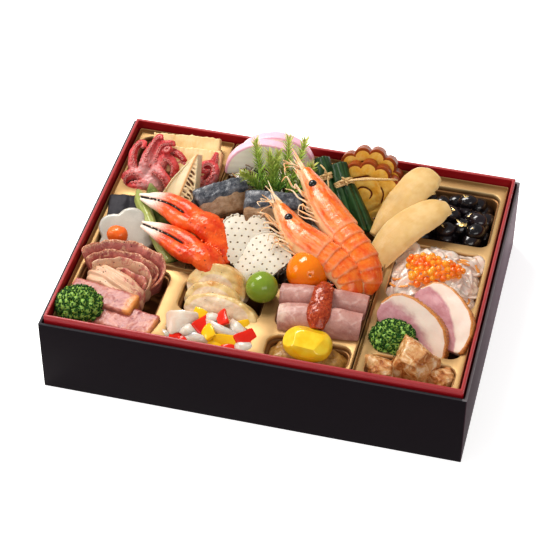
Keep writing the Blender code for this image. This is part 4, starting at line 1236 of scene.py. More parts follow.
def make_ham_rolls():
    """Two rolls of ham and the strip of relish on them."""
    meat = finish("ham_slices", ham_roll_paint, **flesh(0.15, (1.0, 0.45, 0.35), 1.5))
    for number, (node, (route, widths, heights)) in enumerate(HAM_ROLLS.items()):
        roll = bar(node + "_rolled", rings=90, sides=72)
        points = points_of(roll)
        caps = (points[:, 2] < 0.001) | (points[:, 2] > 0.999)
        turn = (np.degrees(np.arctan2(points[:, 1], points[:, 0])) + 128) % 360
        lip = 0.075 * (turn / 360) + 0.05 * np.exp(-(((turn - 352) / 6) ** 2))
        points[:, :2] *= (0.94 + lip)[:, None]
        fray = 0.012 * lumps(points * (6, 6, 1), 2.2, number)
        points[:, 2] += np.where(caps | (points[:, 2] < 0.02) | (points[:, 2] > 0.98), fray, 0)
        set_points(roll, points)
        bend(roll, route, widths, heights)
        along = np.clip(points[:, 2], 0, 1)
        pale = (0.72 - along * 2.4) * 0.9 if number == 0 else (0.25 - along * 2) * 0.9
        crest = np.exp(-(((along - 0.78) / 0.05) ** 2)) * (0.55 if number == 0 else 0)
        tinted(roll, np.clip(pale + crest, 0, 1))
        tinted(roll, caps.astype(float), EDGE)
        carve(roll, lambda p, n: 0.5 * lumps(p, 9.0, 2 + number) + 0.18 * lumps(p, 2.6, 4) - 0.1)
        place(roll, meat, "ham", node, smooth=50)
    sauce = finish("relish_pulp", relish_paint, coat=(0.4, 0.12), **flesh(0.35, (1.0, 0.22, 0.08), 1.6))
    strip = bar("relish_body", rings=40, sides=28)
    bend(strip, *RELISH)
    drops = [strip]
    rng = random.Random(9)
    path = smooth_path(RELISH[0])
    for _ in range(RELISH_DROPS):
        share = rng.uniform(0.06, 0.94)
        at = Vector(path[int(share * (len(path) - 1))])
        wide = float(spread(RELISH[1], share)) * 0.85
        at += Vector((rng.uniform(-wide, wide), rng.uniform(-2, 2), rng.uniform(0.4, 2.2)))
        size = rng.uniform(1.1, 2.5)
        drop = ball("drop", (size, size * 0.8, size * 0.6), detail=3)
        drops.append(lay(drop, Matrix.Translation(at) @ Matrix.Rotation(rng.uniform(0, 3), 4, "Z")))
    sauce_heap = remeshed(merged("relish_heap", drops), 0.42, 3)
    carve(sauce_heap, lambda p, n: 0.3 * lumps(p, 2.4, 3) + 0.07 * lumps(p, 0.9, 8))
    keep_own(sauce_heap)
    place(sauce_heap, sauce, "relish", "tomato_relish")


CHESTNUT = ((15.5, 11.5, 9.0), (31.5, -79.5, 55.0), -6.0)
CHESTNUT_CUTS = (  # where each flat faces, and how much of the half size it leaves
    ((0.1, -0.34, 0.93), 0.84), ((0.66, -0.4, 0.62), 0.95), ((-0.74, -0.3, 0.6), 0.93),
    ((0.05, 0.62, 0.78), 0.9), ((0.1, -0.92, 0.38), 0.95),
)


def chestnut_paint(own, tint, edge):
    cloud = own.noise(7.0, 3.0)
    fine = own.noise(1.1, 3.0, 0.6)
    colour = cloud.step(0.3, 0.7).mixed((0.93, 0.56, 0.010), (0.95, 0.68, 0.045))
    colour = (own.part(2).step(0.0, -8.0) * 0.5).mixed(colour, (0.90, 0.42, 0.008))
    return colour, fine * 0.1 + 0.12, (cloud * 0.7 + fine * 0.3).bump(0.1, 0.3)


def mash_paint(own, tint, edge):
    cloud = own.noise(5.0, 4.0, 0.6)
    fine = own.noise(0.8, 3.0, 0.7)
    colour = cloud.step(0.3, 0.7).mixed((0.28, 0.135, 0.028), (0.43, 0.24, 0.07))
    colour = (fine.step(0.5, 0.8) * 0.5).mixed(colour, (0.60, 0.41, 0.17))
    return colour, cloud * 0.2 + 0.22, (cloud * 0.5 + fine * 0.5).bump(0.7, 0.6)


def faceted(obj, size, cuts, soft=0.05):
    """Flattens a ball of these half sizes by each cut: where it faces and what it leaves."""
    points = points_of(obj) / np.asarray(size)
    for out, left in cuts:
        out = np.array(out) / np.linalg.norm(out)
        reach = points @ out
        over = np.where(reach > left - soft, reach - left, -soft)
        give = np.where(over > soft, over, (over + soft) ** 2 / (4 * soft))
        points = points - np.outer(give, out)
    set_points(obj, points * size)
    return obj


def make_chestnut():
    size, at, yaw = CHESTNUT
    flesh_gloss = finish(
        "chestnut_syrup", chestnut_paint, coat=(0.9, 0.12),
        **flesh(0.3, (1.0, 0.6, 0.1), 2.5),
    )
    nut = faceted(chunk("chestnut_whole", size, 0.84, 6), size, CHESTNUT_CUTS, 0.03)
    carve(nut, lambda p, n: 0.12 * lumps(p, 6.0, 3))
    lay(nut, stance(at, yaw))
    place(nut, flesh_gloss, "chestnut", "chestnut")
    paste = finish("mash_paste", mash_paint, coat=(0.35, 0.2), **flesh(0.2, (1.0, 0.6, 0.2), 1.5))
    heap = remeshed(copied("sweet_potato_mash", "mash_heap"), 0.7, 6)
    carve(
        heap,
        lambda p, n: np.clip(n[:, 2], 0, 1)
        * (2.6 + 1.3 * lumps(p, 6.5, 2) + 0.7 * lumps(p, 2.8, 4) + 0.3 * lumps(p, 1.2, 6)),
    )
    place(heap, paste, "mash", "sweet_potato_mash")


# Chicken slices and the pepper mix.

CHICKEN = {  # half width, height, yaw, lean, thickness
    "chicken_back": ((-36, -40.5, 50), 20, 16, -8, 40, 10),
    "chicken_middle": ((-36, -51, 47), 19, 14, -8, 40, 9),
    "chicken_front": ((-28.5, -60.5, 47), 25, 13, -9, 46, 11),
}


def chicken_paint(own, tint, edge):
    """Steamed breast; tint marks the seared skin and edge its browning."""
    fibre = own.moved(turn=(0, 0, 12), size=(0.28, 1, 1)).noise(1.3, 4.0, 0.65, 0.6)
    cloud = own.noise(6.0, 4.0, 0.6)
    fine = own.noise(0.7, 3.0, 0.7)
    meat = cloud.step(0.3, 0.7).mixed((0.68, 0.47, 0.31), (0.76, 0.61, 0.44))
    meat = (fibre.step(0.5, 0.7) * 0.4).mixed(meat, (0.60, 0.36, 0.25))
    skin = cloud.step(0.35, 0.65).mixed((0.66, 0.43, 0.17), (0.76, 0.58, 0.30))
    seared = fine.step(0.35, 0.65).mixed((0.50, 0.21, 0.045), (0.70, 0.38, 0.12))
    colour = (tint + (cloud - 0.5) * 0.5).step(0.35, 0.6).mixed(meat, skin)
    colour = (edge + (cloud - 0.5) * 0.9 + (fine - 0.5) * 0.5).step(0.4, 0.75).mixed(colour, seared)
    pepper = 1 - own.cells(4.2).step(0.055, 0.1)
    colour = (pepper * 0.85).mixed(colour, (0.05, 0.03, 0.02))
    height = fibre * 0.6 + fine * 0.3 + cloud * 0.4
    return colour, cloud * 0.2 + 0.26, height.bump(0.5, 0.55)


def make_chicken():
    breast = finish("chicken_breast", chicken_paint, coat=(0.25, 0.2), **flesh(0.25, (1.0, 0.6, 0.4), 2.0))
    for number, (node, (at, half, height, yaw, lean, thick)) in enumerate(CHICKEN.items()):
        low = 0.62 * height
        outline = [
            *arc(0, 0, half, height, 8, 172, 26),
            (-half, -low * 0.25), *arc(0, -low * 0.35, half * 0.96, low * 0.65, 195, 345, 16),
            (half, -low * 0.25),
        ]
        slice_ = slab(node + "_slice", outline, thick, 0.62, 9)

        def skin(points, normals):
            reach = np.hypot(points[:, 0] / half, np.clip(points[:, 1], 0, None) / height)
            crown = np.clip(normals[:, 2], 0, 1) * (2.2 - 2.6 * reach**2)
            ply = 0.16 * np.sin(points[:, 1] * 0.9 + 2.2 * lumps(points, 9.0, number))
            return crown + 0.7 * lumps(points, 7.0, number + 1) + 0.22 * lumps(points, 2.2, 4) + (
                ply * np.clip(normals[:, 2], 0, 1)
            )

        carve(slice_, skin)
        points = points_of(slice_)
        reach = np.hypot(points[:, 0] / half, np.clip(points[:, 1], 0, None) / height)
        rind = np.clip((reach - (0.5, 0.66, 0.72)[number]) * 5, 0, 1)
        rind *= np.clip(points[:, 1] / height * 5 + 0.6, 0, 1)
        tinted(slice_, rind)
        scorch = rind * (0.5 + 0.5 * lumps(points, 9.0, number + 7))
        tinted(slice_, scorch * (0.95 if number < 2 else 0.6), EDGE)
        lay(slice_, stance(at, yaw, lean))
        place(slice_, breast, "chicken", node)


PEPPER_BITS = (  # what, middle, length, width, yaw, lean, roll
    ("red", (-35.5, -77.5, 54.5), 15, 8, 62, 62, 0), ("red", (-24.5, -72.5, 57), 12, 7, -70, 55, 8),
    ("red", (-7.5, -81.5, 52.5), 14, 9, 48, 52, 0), ("red", (-51, -86, 50), 10, 7, 10, 66, 0),
    ("yellow", (-39.5, -70.5, 55), 9, 7, -12, 60, 0), ("yellow", (-30.5, -83.5, 54), 11, 8, -55, 58, 0),
    ("yellow", (-17.5, -85.5, 52), 19, 7, 12, 50, 0), ("yellow", (-12, -70, 51), 9, 7, 40, 60, 0),
    ("onion", (-48.5, -78, 53.5), 21, 13, 20, 58, 0), ("onion", (-24, -79.5, 54), 24, 6, -14, 50, 0),
    ("onion", (-38, -88, 51), 18, 7, -4, 55, 0), ("onion", (-43, -84, 52), 12, 8, -30, 62, 0),
    ("onion", (-14, -76, 52.5), 16, 8, -24, 60, 0), ("red", (-43.5, -90, 49.5), 9, 6, 30, 70, 0),
    ("onion", (-54, -80, 49), 11, 8, 70, 62, 0), ("yellow", (-25, -90, 49.5), 10, 7, -10, 70, 0),
    ("red", (-16, -91, 49), 10, 7, 20, 66, 0), ("onion", (-6, -88, 49.5), 13, 8, 30, 66, 0),
    ("yellow", (-50, -71, 50), 8, 7, 30, 66, 0), ("onion", (-31, -72, 53), 14, 8, 15, 66, 0),
    ("onion", (-57, -88, 48), 10, 7, 5, 66, 0),
)


def pepper_paint(skins, cuts):
    """The finish of one kind of pepper: glossy outside and paler where it is cut."""

    def paint(own, tint, edge):
        cloud = own.noise(4.0, 3.0)
        skin, cut = cloud.mixed(*skins), cloud.mixed(*cuts)
        colour = own.part(2).step(0.2, -0.7).mixed(skin, cut)
        return colour, cloud * 0.12 + 0.14, own.noise(1.6, 3.0).bump(0.2, 0.5)

    return paint


red_paint = pepper_paint(
    ((0.80, 0.014, 0.006), (0.90, 0.05, 0.018)), ((0.80, 0.16, 0.08), (0.86, 0.26, 0.14))
)
yellow_paint = pepper_paint(
    ((0.92, 0.48, 0.01), (0.94, 0.62, 0.02)), ((0.92, 0.62, 0.06), (0.93, 0.70, 0.16))
)


def onion_paint(own, tint, edge):
    cloud = own.noise(5.0, 3.0)
    vein = own.moved(size=(0.16, 1, 1)).noise(0.9, 3.0, 0.6)
    colour = cloud.step(0.3, 0.7).mixed((0.78, 0.68, 0.57), (0.74, 0.58, 0.47))
    colour = (vein.step(0.5, 0.7) * 0.35).mixed(colour, (0.86, 0.80, 0.70))
    colour = (own.part(0).step(-2.0, -9.0) * 0.5).mixed(colour, (0.80, 0.44, 0.31))
    return colour, cloud * 0.1 + 0.14, vein.bump(0.3, 0.5)


def make_pepper_mix():
    """Curled bits of pepper and onion, over a core."""
    soft = {"coat": (0.4, 0.1)}
    kinds = {
        "red": (finish("red_pepper", red_paint, **soft, **flesh(0.2, (1, 0.2, 0.1), 1.2)), 2.3),
        "yellow": (finish("yellow_pepper", yellow_paint, **soft, **flesh(0.2, (1, 0.7, 0.1), 1.2)), 2.3),
        "onion": (finish("white_onion", onion_paint, **soft, **flesh(0.6, (1, 0.75, 0.55), 3.5)), 0.8),
    }
    rng = random.Random(4)
    bits = {kind: [] for kind in kinds}
    for kind, at, long, wide, yaw, lean, roll in PEPPER_BITS:
        thick = kinds[kind][1]
        piece = chunk("bit", (long / 2, wide / 2, thick / 2), 0.3 if kind == "onion" else 0.17, 4)
        hump = rng.uniform(1.6, 2.6) * (1.9 if kind == "onion" else 0.55)
        twist = rng.uniform(-0.05, 0.05)

        def curled(points):
            x, y, z = points.T
            rise = hump * (1 - (2 * x / long) ** 2) - 0.35 * hump * (2 * y / wide) ** 2
            fold = (0.9 if kind == "onion" else 0.35) * lumps(points, 9.0, long)
            taper = 1 - (0.6 if kind == "onion" else 0.25) * (x / long) + 0.06 * np.sin(x * 0.8 + yaw)
            return np.stack((x, y * taper, z + rise + fold + twist * x * y), axis=1)

        keep_own(piece)
        shape(piece, curled)
        lay(piece, stance(at, yaw, lean, roll))
        bits[kind].append(piece)
    core = remeshed(copied("pepper_mix", "pepper_core"), 1.0, 4)
    shape(core, lambda p: p - (0, 0, 2.2))
    carve(core, lambda p, n: 0.8 * lumps(p, 7.0, 3) - 1.2)
    bits["onion"].append(core)
    for kind, pieces in bits.items():
        replaced = ("pepper_mix",) if kind == "onion" else ()
        place(merged(f"pepper_mix_{kind}", pieces), kinds[kind][0], "pepper", *replaced)


# Broccoli.

BROCCOLI = {
    "broccoli_left": ((-115.5, -80.5, 53.5), (16.5, 13.5, 13.0)),
    "broccoli_right": ((81.5, -60.0, 52.0), (15.5, 12.5, 12.0)),
}
BUDS = 2300


def bud_paint(own, tint, edge):
    """Buds from dark blue-green, painted as shade where they sit deep between florets, to lighter green
    where they stand out, and a few yellow-green ones.
    """
    cloud = own.noise(0.5, 2.0)
    colour = tint.ramp(
        (0.0, (0.010, 0.048, 0.006)), (0.4, (0.022, 0.10, 0.014)), (0.75, (0.055, 0.19, 0.022)),
        (0.97, (0.34, 0.50, 0.07)),
    )
    return (cloud.step(0.5, 0.8) * 0.25).mixed(colour, (0.16, 0.34, 0.07)), cloud * 0.2 + 0.34


def stem_paint(own, tint, edge):
    cloud = own.noise(3.0, 3.0)
    return (
        cloud.mixed((0.22, 0.42, 0.06), (0.42, 0.58, 0.16)),
        cloud * 0.15 + 0.35,
        own.noise(0.8, 3.0).bump(0.25, 0.5),
    )


def make_broccoli():
    """Buds thrown over domes, with cores and a stalk under them."""
    buds = finish("broccoli_buds", bud_paint, **flesh(0.1, (0.5, 1.0, 0.2), 0.6))
    stems = finish("broccoli_stems", stem_paint, **flesh(0.2, (0.6, 1.0, 0.3), 1.5))
    for number, (node, (at, size)) in enumerate(BROCCOLI.items()):
        rng = random.Random(31 + number)
        heart = Vector(at)
        size = Vector(size)

        def on_dome(rng):
            turn, rise = rng.uniform(0, math.tau), rng.uniform(-0.45, 1.0)
            flat = math.sqrt(max(0.0, 1 - rise * rise))
            return (
                math.cos(turn) * flat * size.x * 0.83, math.sin(turn) * flat * size.y * 0.83,
                rise * size.z * 0.83,
            )

        knobs = [(Vector(spot), rng.uniform(2.6, 3.1)) for spot in thrown(rng, 900, 2.9, on_dome)]
        cores, places, tints = [], [], []
        for spot, reach in knobs:
            core = ball("core", (reach * 0.9,) * 3, detail=2)
            cores.append(lay(core, Matrix.Translation(heart + spot)))
            stalk = bar("stalk", rings=4, sides=10)
            root = heart + spot * 0.2 - Vector((0, 0, size.z * 0.45))
            bend(stalk, (root, heart + spot * 0.6, heart + spot), (2.4, 2.2, 2.6), (2.4, 2.2, 2.6))
            cores.append(stalk)
        share = BUDS // len(knobs) + 30
        for spot, reach in knobs:
            for _ in range(share):
                out = Vector((rng.gauss(0, 1), rng.gauss(0, 1), rng.gauss(0, 1))).normalized()
                if out.dot(spot.normalized()) < -0.25:
                    continue
                bud_at = spot + out * reach * rng.uniform(0.93, 1.06)
                if any((bud_at - other).length < r * 0.9 for other, r in knobs if other is not spot):
                    continue
                deep = min((bud_at - other).length - r for other, r in knobs if other is not spot)
                places.append(heading(heart + bud_at, out, rng.uniform(0, 360), rng.uniform(0.62, 1.05)))
                # Buds deep between the florets get a darker tint and the standing ones a lighter one:
                # painted shade and light.
                lit = 0.2 + 0.09 * min(deep, 3.0) + rng.uniform(-0.2, 0.28)
                tints.append(0.99 if rng.random() < 0.035 else lit)
        bud = primitive("ico_sphere", "bud", subdivisions=1, radius=0.66 * MM)
        place(sown(node + "_buds", bud, places, tints), buds, "broccoli", node)
        core = merged(node + "_stems", cores)
        place(core, stems, "broccoli")


# Duck slices and glazed meat.

DUCK = {
    "duck_back": ((109.5, -39, 55), -38, 58, -10, 6.3),
    "duck_front": ((93, -50, 52), -19, 46, -14, 9.2),
}


DUCK_TOP = (
    (28, -6), (26.5, 0), (22.5, 7.5), (16, 13.5), (8, 16.5), (-2, 17.5), (-12, 17), (-20, 14.5),
    (-25, 10), (-27.5, 3),
)
DUCK_FAT = ((-28, -14, -3, 8, 18, 26), (6, 8, 7.5, 3, -2, -10))  # where the fat starts, x to y


def duck_paint(own, tint, edge):
    """Pink breast under a band of fat with a browned rind; tint is how near the rind is."""
    cloud = own.noise(7.0, 4.0, 0.6, 0.6)
    fibre = own.moved(turn=(0, 0, 35), size=(0.3, 1, 1)).noise(1.2, 4.0, 0.65, 0.8)
    fine = own.noise(0.7, 3.0, 0.7)
    meat = cloud.step(0.3, 0.7).mixed((0.50, 0.21, 0.235), (0.61, 0.32, 0.34))
    meat = (fibre.step(0.5, 0.75) * 0.4).mixed(meat, (0.74, 0.48, 0.47))
    fat = cloud.mixed((0.79, 0.60, 0.50), (0.82, 0.70, 0.60))
    fat = (fine.step(0.55, 0.8) * 0.35).mixed(fat, (0.78, 0.50, 0.42))
    crust = fine.step(0.3, 0.7).mixed((0.46, 0.15, 0.035), (0.72, 0.34, 0.10))
    near = tint + (cloud - 0.5) * 0.12 + (fibre - 0.5) * 0.1
    colour = near.step(0.60, 0.82).mixed(meat, fat)
    colour = (tint + (fine - 0.5) * 0.03 + edge).step(0.945, 0.985).mixed(colour, crust)
    return colour, cloud * 0.2 + 0.27, (fibre * 0.6 + fine * 0.4).bump(0.35, 0.55)


def make_duck():
    breast = finish("duck_breast", duck_paint, coat=(0.25, 0.2), **flesh(0.22, (1.0, 0.45, 0.35), 2.0))
    crust_line = np.array([(x, y, 0) for x, y in DUCK_TOP], float)
    for number, (node, (at, yaw, lean, roll, thick)) in enumerate(DUCK.items()):
        cut = slab(node + "_cut", [*DUCK_TOP, *arc(0, -3, 27, 9, 190, 350, 24)], thick, 0.62, 6)

        def to_rim(points):
            return gap_to(points * (1, 1, 0), crust_line)

        def to_fat(points):
            return points[:, 1] - np.interp(points[:, 0], *DUCK_FAT) + (0, 0.5)[number]

        def skin(points, normals):
            face = np.clip(normals[:, 2], 0, 1)
            pleat = 0.3 * np.sin((points[:, 0] - points[:, 1]) * 2.1)
            outer = np.clip(2 - to_rim(points), 0, 1) * (1 - face)
            return face * (0.3 + 0.5 / (1 + np.exp(-to_fat(points)))) + outer * pleat + (
                0.5 * lumps(points, 8.0, number)
            )

        carve(cut, skin)
        points = points_of(cut)
        fat = np.clip(to_fat(points) / (3.0, 11.0)[number] + 0.5, 0, 1)
        rim = np.clip((1.9 - to_rim(points)) / 0.9, 0, 1)
        tinted(cut, np.where(rim > 0, 0.9 + 0.1 * rim, 0.56 + 0.3 * fat))
        tinted(cut, rim * (np.abs(normals_of(cut)[:, 2]) < 0.75), EDGE)
        lay(cut, stance(at, yaw, lean, roll))
        place(cut, breast, "duck", node)


MEATS = {
    "meat_left": ((11, 9.5, 10), (78.5, -81, 44), 12),
    "meat_middle": ((14, 12, 14), (97.5, -74.5, 50.5), -24),
    "meat_right": ((9.5, 9, 9), (116, -79, 44), 30),
}


MEAT_CUTS = (
    ((0.1, -0.4, 0.9), 0.84), ((0.8, -0.3, 0.5), 0.86), ((-0.7, -0.5, 0.5), 0.84),
    ((0.2, 0.7, 0.7), 0.86), ((0.1, -0.95, 0.1), 0.88),
)


def glazed_paint(own, tint, edge):
    """Braised meat: pale fibres, brown seared ridges and a clear glaze."""
    cloud = own.noise(6.0, 4.0, 0.6, 0.8)
    fibre = own.moved(turn=(20, 10, 30), size=(0.3, 1, 1)).noise(1.6, 4.0, 0.65, 0.8)
    fine = own.noise(0.9, 3.0, 0.7)
    colour = cloud.ramp(
        (0.30, (0.24, 0.06, 0.014)), (0.42, (0.52, 0.20, 0.06)), (0.54, (0.72, 0.42, 0.19)),
        (0.66, (0.88, 0.68, 0.46)),
    )
    colour = (fibre.step(0.5, 0.75) * 0.5).mixed(colour, (0.47, 0.20, 0.07))
    colour = (fine.step(0.6, 0.8) * 0.35).mixed(colour, (0.26, 0.085, 0.03))
    return colour, cloud * 0.2 + 0.16, (fibre * 0.5 + fine * 0.4 + cloud * 0.5).bump(0.9, 0.6)


def make_meats():
    glaze = finish("glazed_meat", glazed_paint, coat=(0.45, 0.14), **flesh(0.2, (1.0, 0.5, 0.25), 1.6))
    for number, (node, (size, at, yaw)) in enumerate(MEATS.items()):
        lump = faceted(chunk(node + "_lump", size, 0.4, 6), size, MEAT_CUTS, 0.04)
        carve(
            lump,
            lambda p, n: 1.7 * lumps(p, 9.0, number + 2) - 0.3
            + 0.9 * (0.5 - np.abs(lumps(p, 4.5, number))) + 0.3 * lumps(p, 1.8, 5),
        )
        lay(lump, stance(at, yaw))
        place(lump, glaze, "glazed_meat", node)


# The salad with its salmon roe.

SHREDS = 190
ROE_HEAP = ((94, -1.5, 60.5), (15.5, 11.5, 6.5))


def shred_paint(own, tint, edge):
    """Salted radish, nearly clear, with a few strips of carrot, glowing faintly in their own colour as
    painted light.
    """
    cloud = own.noise(4.0, 3.0)
    vein = own.moved(size=(1, 1, 0.12)).noise(0.7, 3.0, 0.6)
    white = cloud.step(0.3, 0.7).mixed((0.82, 0.72, 0.61), (0.80, 0.54, 0.45))
    carrot = cloud.mixed((0.90, 0.28, 0.05), (0.93, 0.42, 0.12))
    colour = tint.step(0.88, 0.9).mixed(white, carrot)
    colour = (vein.step(0.5, 0.75) * 0.2).mixed(colour, (0.93, 0.86, 0.78))
    # The colour also goes out as a faint glow: painted light.
    return colour, cloud * 0.15 + 0.2, vein.bump(0.15, 0.4), colour


def roe_paint(own, tint, edge):
    """Roe beads: a painted glow low down, as if light shone through them, deeper above, each a little
    different.
    """
    # The low side of each bead is painted brighter and made to glow: painted light shining through the bead.
    low = own.part(2).step(1.6, -1.8)
    shade = tint.mixed((0.86, 0.13, 0.005), (0.96, 0.42, 0.025))
    return (
        (low * 0.75).mixed(shade, (1.0, 0.56, 0.11)),
        tint * 0.05 + 0.06,
        None,
        (low * 0.9).mixed((0.10, 0.01, 0.0), (0.9, 0.26, 0.02)),
    )


def heap_top(node, edge_z, crown_z):
    """The height of a heap's top at x, y in its pocket, as part.py shapes it."""
    heart, half = middle(node), span(node) / 2

    def top(x, y):
        u, v = abs(x - heart[0]) / half[0], abs(y - heart[1]) / half[1]
        return edge_z + (crown_z - edge_z) * max(0.0, 1 - max(u, v) ** 2.2)

    return heart, half, top


def make_salad():
    """Shreds over a core, and the roe heaped on them."""
    wet = finish(
        "radish_shreds", shred_paint, coat=(0.5, 0.08),
        Emission_Strength=0.08,
        **flesh(0.5, (1.0, 0.8, 0.65), 3.0),
    )
    heart, half, top = heap_top("salad_heap", 45, 58.5)
    reach = (half[0] * 0.95, half[1] * 0.95)
    rng = random.Random(12)
    strands = []
    for k in range(SHREDS):
        x = heart[0] + rng.uniform(-0.92, 0.92) * half[0]
        y = heart[1] + rng.uniform(-0.92, 0.92) * half[1]
        turn = rng.uniform(0, math.tau)
        long = rng.uniform(5, 11)
        carrot = k % 12 == 5
        route = []
        for share in (-1, -0.4, 0.3, 1):
            turn += rng.uniform(-0.5, 0.5)
            away_x = max(x + math.cos(turn) * long * share, heart[0] - reach[0])
            away_y = max(y + math.sin(turn) * long * share, heart[1] - reach[1])
            spot = min(away_x, heart[0] + reach[0]), min(away_y, heart[1] + reach[1])
            route.append((*spot, top(*spot) + rng.uniform(-0.5, 3.0) + (1.0 if carrot else 0)))
        wide = 1.3 if carrot else rng.choice((2.0, 3.2, 5.0))
        thick = 0.7 if carrot else 0.5
        strand = bar("strand", rings=14, sides=8)
        tilt = (rng.uniform(-0.5, 0.5), rng.uniform(-0.5, 0.5), 1)
        bend(strand, route, (wide * 0.7, wide, wide, wide * 0.6), (thick,) * 4, tilt)
        tinted(strand, np.full(len(strand.data.vertices), 1.0 if carrot else 0.3))
        strands.append(strand)
    core = remeshed(copied("salad_heap", "salad_core"), 1.0, 4)
    carve(core, lambda p, n: 1.6 * lumps(p, 6.0, 3) + 0.25 * lumps(p, 2.0, 3) - 1.6)
    keep_own(core)
    tinted(core, np.full(len(core.data.vertices), 0.3))
    strands.append(core)
    place(merged("salad_shreds", strands), wet, "salad", "salad_heap")
    beads = finish(
        "salmon_roe", roe_paint, coat=(1.0, 0.03), Emission_Strength=0.24,
        **flesh(0.5, (1.0, 0.3, 0.06), 2.0),
    )
    at, size = ROE_HEAP

    def on_heap(rng):
        turn, out = rng.uniform(0, math.tau), rng.random() ** 0.5
        ragged = 1 + 0.22 * math.sin(turn * 3 + 1) + 0.12 * math.sin(turn * 5)
        x, y = math.cos(turn) * out * ragged, math.sin(turn) * out * ragged
        rise = math.sqrt(max(0.0, 1 - min(1.0, out) ** 2))
        z = at[2] + (rise - 0.2) * size[2] + rng.uniform(-0.8, 1.4)
        return at[0] + x * size[0], at[1] + y * size[1], z

    spots = thrown(rng, 5000, 3.25, on_heap)
    places = [heading(spot, (0, 0, 1), rng.uniform(0, 360), rng.uniform(0.8, 1.2)) for spot in spots]
    bead = primitive("ico_sphere", "bead", subdivisions=3, radius=2.25 * MM)
    tints = [rng.random() for _ in places]
    place(sown("salmon_roe_beads", bead, places, tints), beads, "salmon_roe", "salmon_roe")


# Black beans with gold leaf.


GOLD_FLECKS = 44


def bean_paint(own, tint, edge):
    wrinkle = own.moved(size=(0.6, 1, 1)).noise(1.6, 3.0, 0.6, 1.0)
    return (
        tint.mixed((0.006, 0.005, 0.007), (0.022, 0.013, 0.018)),
        wrinkle * 0.1 + 0.14,
        wrinkle.bump(0.5, 0.45),
    )


def gold_leaf_paint(own, tint, edge):
    crease = own.noise(1.5, 4.0, 0.7)
    return crease.mixed((0.95, 0.62, 0.20), (1.0, 0.80, 0.42)), crease * 0.2 + 0.2, crease.bump(0.4, 0.8)


def make_beans():
    """Whole beans thrown into their pocket, then flecks of gold leaf."""
    gloss = finish("black_bean", bean_paint, coat=(0.8, 0.05))
    heart, half, top = heap_top("black_beans", 44, 50)
    rng = random.Random(21)
    room_x, room_y = half[0] - 4.8, half[1] - 4.8

    def in_pocket(level):
        def pick(rng):
            x = heart[0] + rng.uniform(-1, 1) * room_x * (1.0 if level < 2 else 0.8)
            y = heart[1] + rng.uniform(-1, 1) * room_y * (1.0 if level < 2 else 0.8)
            return (x, y, top(x, y) - 5.5 + 4.6 * level)
        return pick

    spots = []
    for level in range(3):
        taken = thrown(rng, 1500, 10.4, in_pocket(level))
        spots += taken if level < 2 else taken[: int(len(taken) * 0.7)]
    bean = ball("bean", (7.5, 5.6, 4.7), detail=3)
    shape(bean, lambda p: p * (1 + 0.07 * np.cos(p[:, :1] * 0.5)) - np.outer(
        0.8 * np.exp(-(((p[:, 0]) / 1.9) ** 2)) * (p[:, 1] > 0), (0, 1, 0)))
    carve(bean, lambda p, n: 0.16 * lumps(p, 2.2, 4) + 0.1 * np.abs(lumps(p * (0.4, 1, 1), 1.3, 2)))
    places = []
    for spot in spots:
        lean = (rng.uniform(-0.5, 0.5), rng.uniform(-0.5, 0.5), 1)
        places.append(heading(spot, lean, rng.uniform(0, 360), rng.uniform(0.9, 1.06)))
    tints = [rng.random() for _ in places]
    place(sown("black_beans_whole", bean, places, tints), gloss, "bean", "black_beans")
    leaf = finish("gold_leaf", gold_leaf_paint, Metallic=1.0)
    flecks = []
    for k in range(GOLD_FLECKS):
        fleck = chunk("fleck", (rng.uniform(0.7, 2.6), rng.uniform(0.5, 1.5), 0.1), 0.5, 2)
        shape(fleck, lambda p: p + np.outer(0.6 * lumps(p, 1.2, k), (0.5, 0.7, 1)))
        x = heart[0] + rng.gauss(-2 if k % 2 else 3, 7)
        y = heart[1] + rng.gauss(3, 7)
        x = min(max(x, heart[0] - room_x), heart[0] + room_x)
        y = min(max(y, heart[1] - room_y), heart[1] + room_y)
        flat = (rng.uniform(-0.4, 0.4), rng.uniform(-0.6, 0.2), 1)
        near = min(spots, key=lambda s: (s.x - x) ** 2 + (s.y - y) ** 2 - s.z * 6)
        lift = Vector((rng.uniform(-2, 2), rng.uniform(-2.5, 0.5), 4.6))
        flecks.append(lay(fleck, heading(near + lift, flat, rng.uniform(0, 360))))
    place(merged("gold_flecks", flecks), leaf, "gold_foil")


# Octopus.

